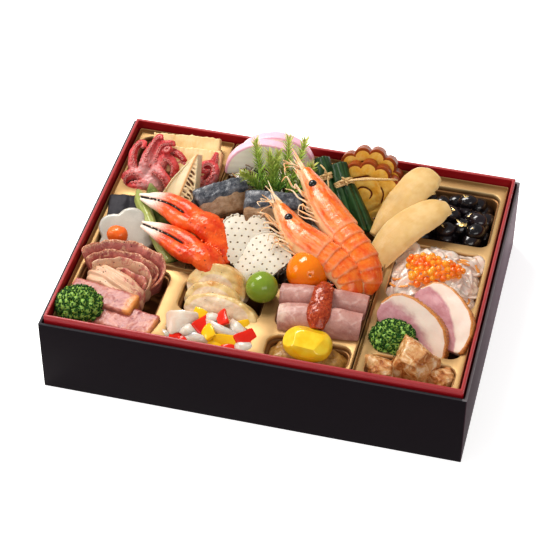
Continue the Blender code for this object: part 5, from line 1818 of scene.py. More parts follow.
OCTOPUS = {  # the body's middle, half sizes and yaw, then each limb's route and radii
    "octopus_left": (
        ((-109, 56, 44), (13, 14, 11.5), 20),
        (
            (((-116, 52, 48), (-121, 54.5, 53), (-123.5, 60, 57.5), (-123.5, 67, 61), (-121, 72, 63),
              (-117.5, 71, 64.5), (-117, 67.5, 64.5), (-119, 67, 63.5)),
             (4.2, 3.4, 2.9, 2.5, 2.1, 1.7, 1.3, 0.9)),
            (((-112, 54, 50), (-113.5, 57, 57), (-113, 63, 61), (-111, 68.5, 65), (-109, 73.5, 68),
              (-107, 75, 69), (-105.5, 72, 69)), (4.8, 4.2, 3.6, 2.9, 2.2, 1.7, 1.1)),
            (((-108, 56, 50), (-107.5, 61, 57), (-106.5, 67.5, 62), (-104.5, 70.5, 66),
              (-100, 71.5, 67.5), (-97.5, 72, 67.5), (-96.5, 70, 67)),
             (4.4, 3.7, 3.1, 2.5, 2.0, 1.6, 1.0)),
            (((-103, 66, 62), (-100.5, 67.8, 65), (-98, 66.5, 66.5), (-98.3, 64, 66.5),
              (-100.5, 63.3, 66), (-101.8, 65, 65.5)), (2.2, 2.0, 1.8, 1.6, 1.4, 1.0)),
            (((-105, 53, 49), (-103.5, 58, 56), (-101, 63, 60.5), (-96.5, 62, 61), (-93, 59, 57.5),
              (-93.5, 55, 52)), (4.2, 3.6, 3.2, 3.0, 2.8, 2.4)),
            (((-103, 68, 58), (-98, 70.5, 60.5), (-93.5, 69, 60.5), (-88.5, 67, 58), (-85, 69, 54)),
             (2.6, 2.9, 2.8, 2.4, 1.6)),
            (((-108, 52, 50), (-105, 55, 56), (-99.5, 50.5, 56.5), (-95.5, 48, 54), (-93, 46, 49.5)),
             (4.2, 3.8, 3.4, 3.0, 2.4)),
            (((-112, 50, 48), (-117, 51.5, 53), (-122, 50, 53), (-125.5, 47, 50.5), (-125, 43.5, 47)),
             (4.4, 3.8, 3.4, 2.8, 1.8)),
            (((-108, 47, 47), (-112, 44.5, 49.5), (-118, 43.5, 48.5), (-122.5, 44.5, 46.5)),
             (4.4, 3.8, 3.2, 2.0)),
        ),
    ),
    "octopus_right": (
        ((-78, 55, 43.5), (11, 11.5, 11), -10),
        (
            (((-75, 50, 47), (-69, 52, 52), (-65.5, 57, 56), (-66, 62.5, 59), (-70, 65, 60.5),
              (-74.5, 62.5, 60.5), (-75, 58.5, 60), (-71.5, 57.5, 59.5), (-70, 60, 59.5)),
             (4.4, 3.9, 3.4, 3.0, 2.7, 2.4, 2.0, 1.6, 1.1)),
            (((-72, 62, 52), (-69, 65, 58), (-67.5, 69, 62), (-67, 72, 65.5)), (3.6, 3.0, 2.3, 1.2)),
            (((-80, 53, 48), (-77, 50, 52), (-81, 47, 52), (-86, 46, 50)), (3.6, 3.2, 2.8, 2.0)),
            (((-84, 58, 49), (-86, 64, 54), (-91, 66, 56.5), (-95, 63, 56)), (3.6, 3.2, 2.6, 1.6)),
        ),
    ),
}


def octopus_paint(own, tint, edge):
    """Crimson skin over pale pink flesh, with a white bloom on the body; tint marks skin."""
    cloud = own.noise(6.0, 4.0, 0.6, 0.5)
    fine = own.noise(0.8, 3.0, 0.7)
    skin = cloud.step(0.3, 0.7).mixed((0.44, 0.026, 0.030), (0.68, 0.10, 0.10))
    pale = cloud.mixed((0.60, 0.23, 0.22), (0.78, 0.50, 0.48))
    colour = (tint + (cloud - 0.5) * 1.1 + (fine - 0.5) * 0.6).step(0.25, 0.8).mixed(pale, skin)
    colour = (fine.step(0.6, 0.8) * 0.4).mixed(colour, (0.84, 0.42, 0.38))
    return colour, cloud * 0.2 + 0.3, (fine * 0.6 + cloud * 0.4).bump(0.45, 0.6)


def sucker_paint(own, tint, edge):
    """A pale ring round a dark cup."""
    x, y = own.part(0), own.part(1)
    away = (x * x + y * y) ** 0.5
    colour = away.ramp(
        (0.0, (0.30, 0.03, 0.035)), (0.3, (0.44, 0.07, 0.07)), (0.5, (0.76, 0.30, 0.27)),
        (1.0, (0.62, 0.15, 0.14)),
    )
    return colour, tint * 0.1 + 0.22


def make_octopus():
    """Each piece's body and limbs in one skin, then its suckers."""
    skin = finish("octopus_skin", octopus_paint, coat=(0.25, 0.15), **flesh(0.25, (1.0, 0.3, 0.25), 1.8))
    cups = finish("octopus_suckers", sucker_paint, coat=(0.5, 0.12), **flesh(0.25, (1.0, 0.3, 0.25), 1.2))
    for number, (node, ((at, size, yaw), limbs)) in enumerate(OCTOPUS.items()):
        body = ball(node + "_body", size, detail=5)
        lay(body, stance(at, yaw))
        parts, places, paths = [body], [], []
        for route, radii in limbs:
            limb = bar("limb", rings=60, sides=24)
            bend(limb, route, radii, radii)
            parts.append(limb)
            path = smooth_path(route, 10)
            paths.append(path)
            centre = path.mean(axis=0)
            row = 0.0
            for k in range(3, len(path) - 2):
                share = k / (len(path) - 1)
                radius = float(spread(radii, share))
                row += np.linalg.norm(path[k] - path[k - 1])
                if row < radius * 0.66:
                    continue
                row = 0.0
                along = Vector(path[k] - path[k - 1]).normalized()
                inward = Vector(centre - path[k])
                inward = (inward - inward.dot(along) * along + Vector((0.1, -0.5, 0.6)) * 3).normalized()
                inward = (inward - inward.dot(along) * along).normalized()
                side = along.cross(inward)
                for flip in (-1, 1):
                    out = (inward * 0.95 + side * flip).normalized()
                    places.append(
                        heading(Vector(path[k]) + out * radius * 1.04, out, 0, 0.3 + radius * 0.28)
                    )
        mass = remeshed(merged(node + "_limbs", parts), 0.55, 3)
        points = points_of(mass)
        near = np.min([gap_to(points, path[::3]) for path in paths], axis=0)
        tip = np.min([np.linalg.norm(points - path[-1], axis=1) for path in paths], axis=0)
        keep_own(mass)
        carve(mass, lambda p, n: 0.35 * lumps(p, 4.0, number + 3) + 0.4 * lumps(p, 1.5, 2))
        on_limb = np.clip((5.5 - near) / 3, 0, 1)
        tinted(mass, 0.05 + 0.6 * on_limb + 0.35 * np.clip(1 - tip / 16, 0, 1))
        place(mass, skin, "octopus", node)
        cup = primitive(
            "torus", "cup", major_segments=10, minor_segments=6, major_radius=0.72 * MM,
            minor_radius=0.36 * MM,
        )
        disc = primitive("uv_sphere", "disc", segments=8, ring_count=4, radius=0.6 * MM)
        shape(disc, lambda p: p * (1, 1, 0.35))
        place(sown(node + "_suckers", merged("cup", [cup, disc]), places), cups, "octopus")


# Bamboo shoots.


def bamboo_paint(own, tint, edge):
    """Cream shoots with long fibres; tint marks the cut face."""
    cloud = own.noise(9.0, 4.0, 0.6)
    fibre = own.moved(size=(1, 0.12, 1)).noise(0.8, 3.0, 0.6)
    flesh_colour = cloud.step(0.3, 0.7).mixed((0.78, 0.54, 0.25), (0.86, 0.68, 0.38))
    flesh_colour = (fibre.step(0.5, 0.75) * 0.35).mixed(flesh_colour, (0.88, 0.74, 0.47))
    flesh_colour = (fibre.step(0.45, 0.2) * 0.3).mixed(flesh_colour, (0.70, 0.43, 0.17))
    colour = (tint * 0.6).mixed(flesh_colour, (0.74, 0.40, 0.16))
    fine = own.noise(0.7, 3.0, 0.7)
    return colour, cloud * 0.2 + 0.33, (fibre * 0.5 + fine * 0.4).bump(0.35, 0.6)


def tip_paint(own, tint, edge):
    """A shoot's tip: cream outside, browner where it is split, and painted shade near black in the hollows
    between its partitions.
    """
    cloud = own.noise(7.0, 3.0)
    fibre = own.moved(size=(1, 0.12, 1)).noise(0.8, 3.0, 0.6)
    fine = own.noise(0.7, 3.0, 0.7)
    cream = cloud.mixed((0.90, 0.70, 0.42), (0.95, 0.80, 0.56))
    cream = (fibre.step(0.5, 0.75) * 0.3).mixed(cream, (0.93, 0.82, 0.60))
    colour = (tint * 0.8).mixed(cream, (0.74, 0.30, 0.06))
    # Near black in the sunk hollows between the partitions: painted shade.
    gap_shade = fine.step(0.35, 0.65).mixed((0.055, 0.02, 0.01), (0.24, 0.10, 0.035))
    colour = (edge * (fine * 1.6 + 0.3)).step(0.25, 0.7).mixed(colour, gap_shade)
    return colour, cloud * 0.2 + 0.35, (fibre * 0.5 + fine * 0.4).bump(0.35, 0.6)


def box_lump(name, size, voxel=0.7, passes=5):
    """A block whose edges have gone soft."""
    block = primitive("cube", name, size=MM)
    shape(block, lambda p: p * size)
    return remeshed(block, voxel, passes)


def make_bamboo():
    """Two slabs and the tip."""
    shoot = finish("bamboo_shoot", bamboo_paint, coat=(0.15, 0.3), **flesh(0.2, (1.0, 0.75, 0.4), 2.0))
    slabs = {
        "bamboo_slab_back": ((46, 17, 9), (-91, 80.5, 57), 6, 52),
        "bamboo_slab_front": ((36, 19, 8), (-82, 68.5, 56), 4, 60),
    }
    for number, (node, (size, at, yaw, lean)) in enumerate(slabs.items()):
        block = box_lump(node + "_cut", size)

        def skin(points, normals):
            x, y = points.T[:2]
            rags = 0.7 * lumps(points * (1, 0.1, 1), 1.6, number) + 0.6 * lumps(points, 4.0, 2)
            upper = np.clip(y / size[1] * 2, 0, 1) ** 4
            groove = 0.12 * np.sin(x * 1.9 + lumps(points, 9.0, 3)) * (np.abs(normals[:, 2]) > 0.7)
            return upper * rags + 0.3 * lumps(points, 7.0, 5) + 0.25 * groove

        carve(block, skin)
        points = points_of(block)
        tinted(block, np.clip(0.25 + 0.5 * lumps(points, 5.0, 4), 0, 1) * (points[:, 1] > size[1] * 0.4))
        lay(block, stance(at, yaw, lean))
        place(block, shoot, "bamboo", node)
    outline = [
        (-12, -22), (14, -22), (12.5, -5), (10.2, 4), (7.2, 12.5), (2.9, 26), (1.2, 26),
        (-1.5, 20.5), (-4.5, 14.5), (-9, 3.5), (-11.5, -8),
    ]
    tip = slab("bamboo_tip_cut", outline, 8.4, 0.55, 3)
    shape(tip, lambda p: p + (0, 0, 2.0))

    def split(points):
        return points[:, 0] - (1.2 - 0.025 * points[:, 1] + 0.0021 * np.clip(points[:, 1], 0, 99) ** 2)

    def ladder(points):
        wave = points[:, 1] + 0.03 * points[:, 0] ** 2 + 0.9 * lumps(points, 3.0, 8)
        rung = np.abs((wave % 2.7) - 1.35)
        right = np.interp(points[:, 1], (-22, -5, 12.5, 26), (13, 11.6, 6.3, 2.0))
        inside = np.clip(split(points) * 1.5 - 1.0, 0, 1) * np.clip((right - points[:, 0]) * 1.5, 0, 1)
        return inside, 1 / (1 + np.exp((rung - 0.55) * 7))

    def tip_skin(points, normals):
        inside, rung = ladder(points)
        face = np.clip(normals[:, 2], 0, 1)
        ridge = np.exp(-((split(points) / 0.5) ** 2))
        crown = np.clip(-split(points), 0, 6) * -0.28
        return face * (0.8 * inside * (rung - 0.6) + 0.5 * ridge + crown) + 0.2 * lumps(points, 4, 2)

    carve(tip, tip_skin)
    points = points_of(tip)
    inside, rung = ladder(points)
    tinted(tip, np.exp(-((split(points) / 0.8) ** 2)) + 0.3 * inside)
    patch = 0.7 + 1.2 * lumps(points, 2.2, 6)
    # Edge marks the hollows between the rungs, where the shade is painted.
    tinted(tip, inside * (1 - rung) * patch, EDGE)
    lay(tip, stance((-83, 45, 52), -12, 40, -6))
    cut = finish("bamboo_tip", tip_paint, Coat_Weight=0.1, **flesh(0.25, (1.0, 0.8, 0.5), 2.0))
    place(tip, cut, "bamboo", "bamboo_tip")


# Konnyaku, radish, carrot and stalks.


def konnyaku_paint(own, tint, edge):
    speck = own.noise(0.7, 3.0, 0.7)
    colour = own.noise(6.0, 3.0).mixed((0.022, 0.020, 0.026), (0.05, 0.046, 0.055))
    return (
        (speck.step(0.6, 0.72) * 0.5).mixed(colour, (0.006, 0.005, 0.006)),
        speck * 0.2 + 0.4,
        speck.bump(0.3, 0.5),
    )


def radish_paint(own, tint, edge):
    """Simmered radish: clear at the rim and milky inside."""
    cloud = own.noise(9.0, 3.0)
    fibre = own.noise(1.2, 3.0, 0.6)
    colour = cloud.mixed((0.50, 0.47, 0.42), (0.60, 0.56, 0.49))
    colour = (tint * 0.5).mixed(colour, (0.44, 0.43, 0.39))
    colour = (fibre.step(0.55, 0.8) * 0.25).mixed(colour, (0.88, 0.86, 0.8))
    return colour, cloud * 0.15 + 0.18, fibre.bump(0.12, 0.4)


def carrot_paint(own, tint, edge):
    cloud = own.noise(3.0, 3.0)
    return (
        cloud.mixed((0.86, 0.13, 0.018), (0.92, 0.24, 0.04)),
        cloud * 0.12 + 0.2,
        own.noise(1.0, 3.0).bump(0.2, 0.5),
    )


def stalk_paint(own, tint, edge):
    """Butterbur: green with fine ribs along it and paler stretches."""
    along = own.part(2)
    rib = own.moved(size=(1, 1, 0.03)).noise(0.7, 3.0, 0.6)
    cloud = own.noise(6.0, 4.0, 0.6)
    green = cloud.step(0.3, 0.7).mixed((0.085, 0.125, 0.022), (0.22, 0.27, 0.06))
    pale = cloud.mixed((0.30, 0.35, 0.085), (0.46, 0.48, 0.16))
    colour = (tint + (cloud - 0.5) * 0.7).step(0.3, 0.8).mixed(green, pale)
    colour = (rib.step(0.5, 0.7) * 0.35).mixed(colour, (0.50, 0.52, 0.22))
    colour = (own.cells(2.2).step(0.14, 0.06) * 0.5).mixed(colour, (0.05, 0.03, 0.01))
    return (
        (along.step(6.0, 0.0) * 0.6).mixed(colour, (0.34, 0.38, 0.17)),
        cloud * 0.15 + 0.26,
        (rib * 0.7 + cloud * 0.3).bump(0.5, 0.6),
    )


STALKS = {
    "stalk_right": (
        ((-104, 38, 58), (-96, 22, 55), (-82, 0, 51.5), (-68, -21, 50)),
        (1.2, 5.0, 4.4, 4.0, 4.0, 3.8),
    ),
    "stalk_left": (
        ((-110, 29, 59), (-101, 14, 58), (-86, -9, 54.5), (-73, -25.5, 51)),
        (1.2, 4.6, 4.2, 3.8, 3.8, 3.6),
    ),
}


def make_stewed_roots():
    """Konnyaku, the radish flower with its carrot, and the two stalks."""
    dark = finish("konnyaku_jelly", konnyaku_paint, Specular_IOR_Level=0.2)
    block = box_lump("konnyaku_twist", (29, 22, 12.4), 0.7, 6)

    def twisted(points):
        turn = np.radians(40) * points[:, 0] / 29
        y, z = points[:, 1], points[:, 2]
        return np.stack(
            (points[:, 0], y * np.cos(turn) - z * np.sin(turn), y * np.sin(turn) + z * np.cos(turn)),
            axis=1,
        )

    notch = np.exp(-((points_of(block)[:, 0] / 2.5) ** 2))
    carve(block, lambda p, n: 0.5 * lumps(p, 6.0, 2) + 0.2 * lumps(p, 1.6, 4) - 1.4 * notch)
    keep_own(block)
    shape(block, twisted)
    lay(block, stance((-112, 17, 49), 12, 70))
    place(block, dark, "konnyaku", "konnyaku")
    clear = finish("radish_clear", radish_paint, coat=(0.3, 0.12), **flesh(0.6, (1.0, 0.95, 0.85), 5.0))
    outline = []
    for k in range(75):
        turn = math.tau * k / 75
        reach = 19.6 * (0.76 + 0.24 * abs(math.sin(2.5 * turn + 1.35)) ** 0.8)
        outline.append((reach * math.cos(turn), reach * math.sin(turn)))
    flower = slab("radish_cut", outline, 13.2, 0.75, 16)
    carve(flower, lambda p, n: 0.35 * lumps(p, 8.0, 2) + 0.6)
    points = points_of(flower)
    tinted(flower, np.clip((np.hypot(points[:, 0], points[:, 1]) - 12) / 7, 0, 1))
    lay(flower, stance((-107, -7, 48), 10, 62))
    place(flower, clear, "radish", "radish_flower")
    orange = finish("carrot_cut", carrot_paint, coat=(0.5, 0.1), **flesh(0.25, (1.0, 0.35, 0.1), 2.0))
    dot = chunk("carrot_round", (6.9, 5.4, 5.9), 0.85, 5)
    carve(dot, lambda p, n: 0.25 * lumps(p, 3.0, 2))
    lay(dot, Matrix.Translation((-110, -16.5, 59)))
    place(dot, orange, "carrot", "carrot_piece")
    green = finish("stalk_green", stalk_paint, coat=(0.4, 0.15), **flesh(0.15, (0.7, 1.0, 0.3), 1.2))
    for node, (route, radii) in STALKS.items():
        stalk = bar(node + "_cut", rings=90, sides=40)
        points = points_of(stalk)
        turn = np.arctan2(points[:, 1], points[:, 0])
        points[:, :2] *= (1 + 0.035 * np.cos(9 * turn))[:, None]
        set_points(stalk, points)
        bend(stalk, route, radii, radii)
        carve(stalk, lambda p, n: 0.3 * lumps(p, 5.0, 3) + 0.1 * lumps(p, 1.5, 2))
        tinted(stalk, np.full(len(points), 0.85 if node == "stalk_left" else 0.3))
        place(stalk, green, "green_stalk", node)


# Pastrami and ham sticks.

PASTRAMI = {  # each slice: centre x, y, half sizes, start and end turn, low and high, thickness
    "pastrami_outer": (
        (-97.5, -42.5, 23.5, 10.0, 196, -44, 40, 66.5, 3.4, 5.5),
        (-98, -46, 20.0, 8.0, 188, -40, 38, 63.5, 3.0, 4.5),
    ),
    "pastrami_middle": (
        (-97, -50, 18.0, 8.5, 180, -46, 38, 62.0, 3.0, 3.0),
        (-96, -54, 15.0, 7.5, 170, -50, 38, 58.0, 3.0, 2.0),
    ),
}


def pastrami_paint(own, tint, edge):
    """Cured beef: tint is fat and edge the peppered crust."""
    cloud = own.noise(7.0, 4.0, 0.6, 0.9)
    grain = own.noise(0.9, 3.0, 0.7)
    swirl = own.moved(size=(0.35, 1, 1)).warped(8.0, 9.0).noise(5.0, 3.0, 0.6, 1.2)
    meat = cloud.step(0.3, 0.7).mixed((0.40, 0.105, 0.10), (0.68, 0.26, 0.21))
    meat = (grain.step(0.55, 0.8) * 0.35).mixed(meat, (0.74, 0.38, 0.31))
    fat = cloud.mixed((0.78, 0.54, 0.35), (0.74, 0.43, 0.30))
    colour = (tint + (swirl - 0.5) * 2.2).step(0.35, 0.75).mixed(meat, fat)
    rough = (edge + (grain - 0.5) * 0.9).step(0.45, 0.75)
    crust = grain.step(0.35, 0.7).mixed((0.42, 0.10, 0.05), (0.86, 0.55, 0.36))
    colour = rough.mixed(colour, crust)
    pepper = own.cells(3.4).step(0.14, 0.07)
    colour = (pepper * 0.9).mixed(colour, (0.04, 0.02, 0.015))
    return colour, cloud * 0.2 + 0.24, (grain * 0.5 + swirl * 0.4 + pepper * 0.4).bump(0.45, 0.6)


def make_pastrami():
    """Curved sheets of beef, and the fold inside them."""
    beef = finish("pastrami_beef", pastrami_paint, coat=(0.3, 0.18), **flesh(0.18, (1.0, 0.4, 0.3), 1.5))
    for number, (node, layers) in enumerate(PASTRAMI.items()):
        sheets = []
        for count, (cx, cy, rx, ry, start, end, low, high, thick, flare) in enumerate(layers):
            path = arc(cx, cy, rx, ry, start, end, 15)
            route = [
                (x + 0.6 * math.sin(k * 1.3 + count), y + 0.5 * math.cos(k * 1.1 + count),
                 (low + high) / 2)
                for k, (x, y) in enumerate(path)
            ]
            sheet = bar("sheet", rings=130, sides=44)
            points = points_of(sheet)
            points[:, 1] = np.sign(points[:, 1]) * np.abs(points[:, 1]) ** 0.75
            set_points(sheet, points)
            bend(sheet, route, (thick / 2,) * 5, ((high - low) / 2,) * 5)
            own = np.empty(len(points) * 3, np.float32)
            sheet.data.attributes[OWN].data.foreach_get("vector", own)
            own = own.reshape(-1, 3) / MM
            rise = np.clip(points[:, 1] * 0.5 + 0.5, 0, 1)
            at = points_of(sheet)
            out = at[:, :2] - (cx, cy)
            out /= np.linalg.norm(out, axis=1)[:, None]
            wavy = 0.8 * np.sin(own[:, 2] * 0.42 + count * 1.9) * rise**2
            at[:, :2] += out * (flare * rise**2 + wavy - 1.5)[:, None]
            tall = 1 - 0.55 * np.clip((own[:, 2] / own[:, 2].max() - 0.72) / 0.28, 0, 1)
            ragged = 0.8 * lumps(own * (0, 0, 1), 5.0, count + 4) + 0.4 * lumps(own * (0, 0, 1), 1.4, 8)
            at[:, 2] = low + (at[:, 2] - low) * (tall + 0.045 * ragged * rise)
            set_points(sheet, at)
            carve(sheet, lambda p, n: 0.35 * lumps(p, 4.5, count) + 0.12 * lumps(p, 1.3, 6))
            keep_own(sheet, own + (0, 40 * count, 0))
            fat = 0.75 if number and count == 0 else 0.3 + 0.2 * number
            tinted(sheet, fat * np.ones(len(at)) + 0.25 * lumps(own, 11.0, count + 2))
            tinted(sheet, np.clip((rise - 0.86) * 7, 0, 1) * (0.85 if number == 0 else 0.4), EDGE)
            sheets.append(sheet)
        place(merged(node + "_sheets", sheets), beef, "pastrami", node)
    fold = chunk("pastrami_fold", (21.5, 10.5, 13.0), 0.8, 6)
    keep_own(fold)
    carve(fold, lambda p, n: 1.4 * lumps(p, 9.0, 4) + 0.7 * np.sin(p[:, 1] * 1.5 + 2 * lumps(p, 9, 2)))
    points = points_of(fold)
    tinted(fold, 0.95 - 0.35 * np.clip((points[:, 0] - 2) / 12, 0, 1) + 0.2 * lumps(points, 7.0, 2))
    lay(fold, stance((-100, -56, 47.5), -24))
    place(fold, beef, "pastrami", "pastrami_inner")


HAM_STICKS = {
    "ham_stick_front": ((47, 18, 17), (-88.5, -82.5, 45), -9, 84),
    "ham_stick_back": ((44, 15, 14), (-103, -70, 50), -9, 84),
}


def ham_stick_paint(own, tint, edge):
    """Pressed ham, mottled pink, with its right end seared."""
    cloud = own.noise(5.0, 4.0, 0.6, 0.5)
    grain = own.noise(1.0, 3.0, 0.7)
    fat = own.cells(4.5).step(0.34, 0.14)
    colour = cloud.step(0.3, 0.7).mixed((0.38, 0.105, 0.095), (0.58, 0.24, 0.175))
    colour = (grain.step(0.5, 0.75) * 0.25).mixed(colour, (0.68, 0.36, 0.31))
    colour = (fat * 0.15).mixed(colour, (0.76, 0.52, 0.44))
    dark = (1 - own.cells(5.0).step(0.08, 0.2)) * 0.75
    colour = dark.mixed(colour, (0.22, 0.035, 0.04))
    seared = grain.mixed((0.62, 0.20, 0.045), (0.80, 0.38, 0.12))
    colour = (tint + (cloud - 0.5) * 0.7).step(0.45, 0.85).mixed(colour, seared)
    return colour, cloud * 0.2 + 0.24, (grain * 0.6 + cloud * 0.4).bump(0.4, 0.5)


def make_ham_sticks():
    pressed = finish("pressed_ham", ham_stick_paint, coat=(0.2, 0.2), **flesh(0.2, (1.0, 0.45, 0.35), 1.8))
    for number, (node, (size, at, yaw, lean)) in enumerate(HAM_STICKS.items()):
        stick = box_lump(node + "_cut", size, 0.75, 7)
        carve(stick, lambda p, n: 0.6 * lumps(p, 7.0, number) + 0.22 * lumps(p, 2.0, 5) + 0.5)
        points = points_of(stick)
        right = np.clip((points[:, 0] / size[0] * 2 - 0.35) / 0.6, 0, 1)
        tinted(stick, right * (0.55 + 0.3 * (points[:, 2] > 0)) * (0.75 if number == 0 else 1.0))
        lay(stick, stance(at, yaw, lean))
        place(stick, pressed, "ham", node)


# Fish, fish cake and rolled egg.

FISH = {
    "fish_left": ((37, 20, 27), (-52.5, 31, 57.5), 39, 72),
    "fish_right": ((38, 22, 27), (-17, 27, 59), 7, 70),
}


def fish_paint(own, tint, edge):
    """Grilled fillet: tint marks the mottled slate skin over tan flakes."""
    cloud = own.noise(5.0, 4.0, 0.65, 0.6)
    fine = own.noise(0.8, 4.0, 0.75)
    flake = own.moved(turn=(0, 0, 20), size=(0.25, 1, 1)).noise(1.6, 4.0, 0.6, 0.8)
    skin = cloud.ramp(
        (0.28, (0.022, 0.026, 0.034)), (0.48, (0.075, 0.082, 0.10)), (0.62, (0.17, 0.175, 0.19)),
        (0.76, (0.42, 0.41, 0.40)),
    )
    skin = (fine.step(0.56, 0.7) * 0.7).mixed(skin, (0.42, 0.41, 0.42))
    skin = (fine.step(0.45, 0.3) * 0.6).mixed(skin, (0.018, 0.02, 0.027))
    meat = cloud.step(0.3, 0.7).mixed((0.36, 0.19, 0.095), (0.62, 0.41, 0.25))
    meat = (flake.step(0.45, 0.7) * 0.5).mixed(meat, (0.72, 0.53, 0.36))
    colour = (tint + (fine - 0.5) * 0.3).step(0.4, 0.6).mixed(meat, skin)
    return colour, fine * 0.25 + 0.22, (fine * 0.6 + flake * 0.4).bump(0.6, 0.65)


def make_fish():
    grilled = finish("grilled_fish", fish_paint, coat=(0.3, 0.2))
    for number, (node, (size, at, yaw, lean)) in enumerate(FISH.items()):
        fillet = box_lump(node + "_fillet", size, 0.8, 9)

        def skin(points, normals):
            x, y, z = points.T
            flakes = 0.8 * np.abs(np.sin(x * 0.5 + 0.25 * y + lumps(points, 8.0, 3)))
            return (
                0.9 * lumps(points, 8.0, number) + 0.35 * lumps(points, 2.2, 4)
                + np.where(z < size[2] * 0.3, -flakes, 0.25 * lumps(points, 1.1, 6))
            )

        carve(fillet, skin)
        points = points_of(fillet)
        wander = 1.3 * lumps(points, 6.0, 9)
        over = points[:, 1] + 1.5 + wander + np.clip(points[:, 2] - 8, -9, 0)
        tinted(fillet, np.clip(over * 1.5 + 0.5, 0, 1))
        slope = np.clip(points[:, 2] / size[2] * 2, 0, 1) * np.clip(1 - points[:, 1], 0, 99)
        set_points(fillet, points - np.outer(0.75 * slope, (0, 0, 1)))
        keep_own(fillet)
        shape(fillet, lambda p: p + np.outer(-0.006 * p[:, 0] ** 2, (0, 0, 1)))
        lay(fillet, stance(at, yaw, lean))
        place(fillet, grilled, "fish", node)


KAMABOKO = {"kamaboko_back": ((-29, 82, 54.5), 9, 4), "kamaboko_front": ((-34, 73.5, 54), 9, 4)}


def kamaboko_paint(own, tint, edge):
    """Fish cake, cream under its pink rind, glowing faintly in its own colour as painted light; tint is how
    near the rind is.
    """
    cloud = own.noise(9.0, 3.0)
    fine = own.noise(0.6, 3.0, 0.6)
    body = cloud.mixed((0.93, 0.86, 0.70), (0.95, 0.90, 0.80))
    rind = cloud.mixed((0.90, 0.47, 0.58), (0.95, 0.60, 0.68))
    colour = (tint + (fine - 0.5) * 0.02).step(0.90, 0.94).mixed(body, rind)
    # The colour also goes out as a faint glow: painted light.
    return colour, cloud * 0.15 + 0.25, (fine * 0.5 + cloud * 0.5).bump(0.15, 0.5), colour


def make_kamaboko():
    cake = finish(
        "fish_cake", kamaboko_paint, coat=(0.2, 0.2), Emission_Strength=0.12,
        **flesh(0.3, (1.0, 0.7, 0.55), 2.5),
    )
    for number, (node, (at, yaw, lean)) in enumerate(KAMABOKO.items()):
        outline = [(-27, -1), *arc(0, 0, 27, 25, 180, 0, 44), (27, -1)]
        slice_ = slab(node + "_slice", outline, 7.2, 0.62, 3)
        carve(
            slice_,
            lambda p, n: 0.07 * np.clip(n[:, 2], 0, 1) * np.sin(p[:, 1] * 1.4 + lumps(p, 9, 2))
            + 0.2 * lumps(p, 7.0, number),
        )
        points = points_of(slice_)
        tinted(slice_, np.hypot(points[:, 0] / 27, np.clip(points[:, 1], 0, None) / 25) * 0.98)
        lay(slice_, stance(at, yaw, lean))
        place(slice_, cake, "kamaboko", node)


DATEMAKI = {"datemaki_back": ((35.5, 80, 55), 3, 28, 0), "datemaki_front": ((37.5, 66, 55), 3, 28, 15)}
EGG_RADIUS, EGG_LOBES, EGG_DEPTH = 24, 12, 3.6


def datemaki_paint(own, tint, edge):
    """Rolled egg: tint is the browned rim and edge the dark swirl between turns."""
    cloud = own.noise(6.0, 4.0, 0.6)
    fine = own.noise(0.7, 3.0, 0.7)
    crumb = cloud.step(0.3, 0.7).mixed((0.84, 0.44, 0.055), (0.93, 0.62, 0.17))
    crumb = (fine.step(0.5, 0.75) * 0.35).mixed(crumb, (0.72, 0.32, 0.03))
    rind = cloud.mixed((0.20, 0.03, 0.006), (0.42, 0.10, 0.018))
    colour = (tint + (fine - 0.5) * 0.2).step(0.35, 0.65).mixed(crumb, rind)
    colour = (edge + (fine - 0.5) * 0.3).step(0.4, 0.7).mixed(colour, (0.16, 0.03, 0.01))
    return colour, cloud * 0.15 + 0.3, (fine * 0.6 + cloud * 0.4).bump(0.3, 0.5)


def make_datemaki():
    egg = finish(
        "rolled_egg", datemaki_paint, Specular_IOR_Level=0.14, Coat_Weight=0.04,
        **flesh(0.2, (1.0, 0.7, 0.25), 2.0),
    )
    count = EGG_LOBES * 12
    for number, (node, (at, yaw, lean, roll)) in enumerate(DATEMAKI.items()):
        outline = []
        for k in range(count):
            turn = math.tau * k / count
            scallop = abs(math.sin(EGG_LOBES / 2 * turn)) ** 0.55
            reach = EGG_RADIUS - EGG_DEPTH * (1 - scallop)
            outline.append((reach * math.cos(turn), reach * math.sin(turn)))
        disc = slab(node + "_disc", outline, 11.2, 0.55, 2)

        def rim_of(points):
            turn = np.arctan2(points[:, 1], points[:, 0])
            scallop = np.abs(np.sin(EGG_LOBES / 2 * turn)) ** 0.55
            return EGG_RADIUS - EGG_DEPTH * (1 - scallop) - np.hypot(points[:, 0], points[:, 1])

        def swirl_of(points):
            turn = np.arctan2(points[:, 1], points[:, 0]) / math.tau
            away = np.hypot(points[:, 0], points[:, 1]) + 1.1 * lumps(points, 6.0, number)
            phase = (away / 8.0 - turn) % 1.0
            return np.exp(-(((phase - 0.5) * 8.0 / 0.75) ** 2)) * (away > 3) * (away < 17)

        carve(
            disc,
            lambda p, n: 0.25 * lumps(p, 4.0, 2) + 0.12 * lumps(p, 1.2, 4)
            - 0.5 * swirl_of(p) * np.clip(n[:, 2], 0, 1),
        )
        points = points_of(disc)
        side = np.clip(1.6 - np.abs(normals_of(disc)[:, 2]) * 1.4, 0, 1) * (rim_of(points) < 3.2)
        tinted(disc, side + np.clip(2.3 - rim_of(points), 0, 1))
        broken = np.clip(1.3 * lumps(points, 9.0, 5 + number) + 0.75, 0, 1)
        tinted(disc, swirl_of(points) * broken, EDGE)
        lay(disc, stance(at, yaw, lean, roll))
        place(disc, egg, "egg_roll", node)


# Herring roe.

HERRING_ROE = {
    "herring_roe_back": (
        ((50, 30, 53), (57, 43, 60), (66, 60, 65), (74, 75, 68), (79, 82, 68)),
        (3.0, 8.0, 11.5, 12.0, 8.0), (3.0, 4.6, 5.4, 5.4, 3.4),
    ),
    "herring_roe_front": (
        ((58, 3, 52), (63, 18, 59), (73, 35, 63), (86, 48, 66), (94, 54, 66)),
        (6.0, 11.5, 12.5, 11.0, 6.0), (3.0, 5.0, 5.8, 5.4, 3.0),
    ),
}


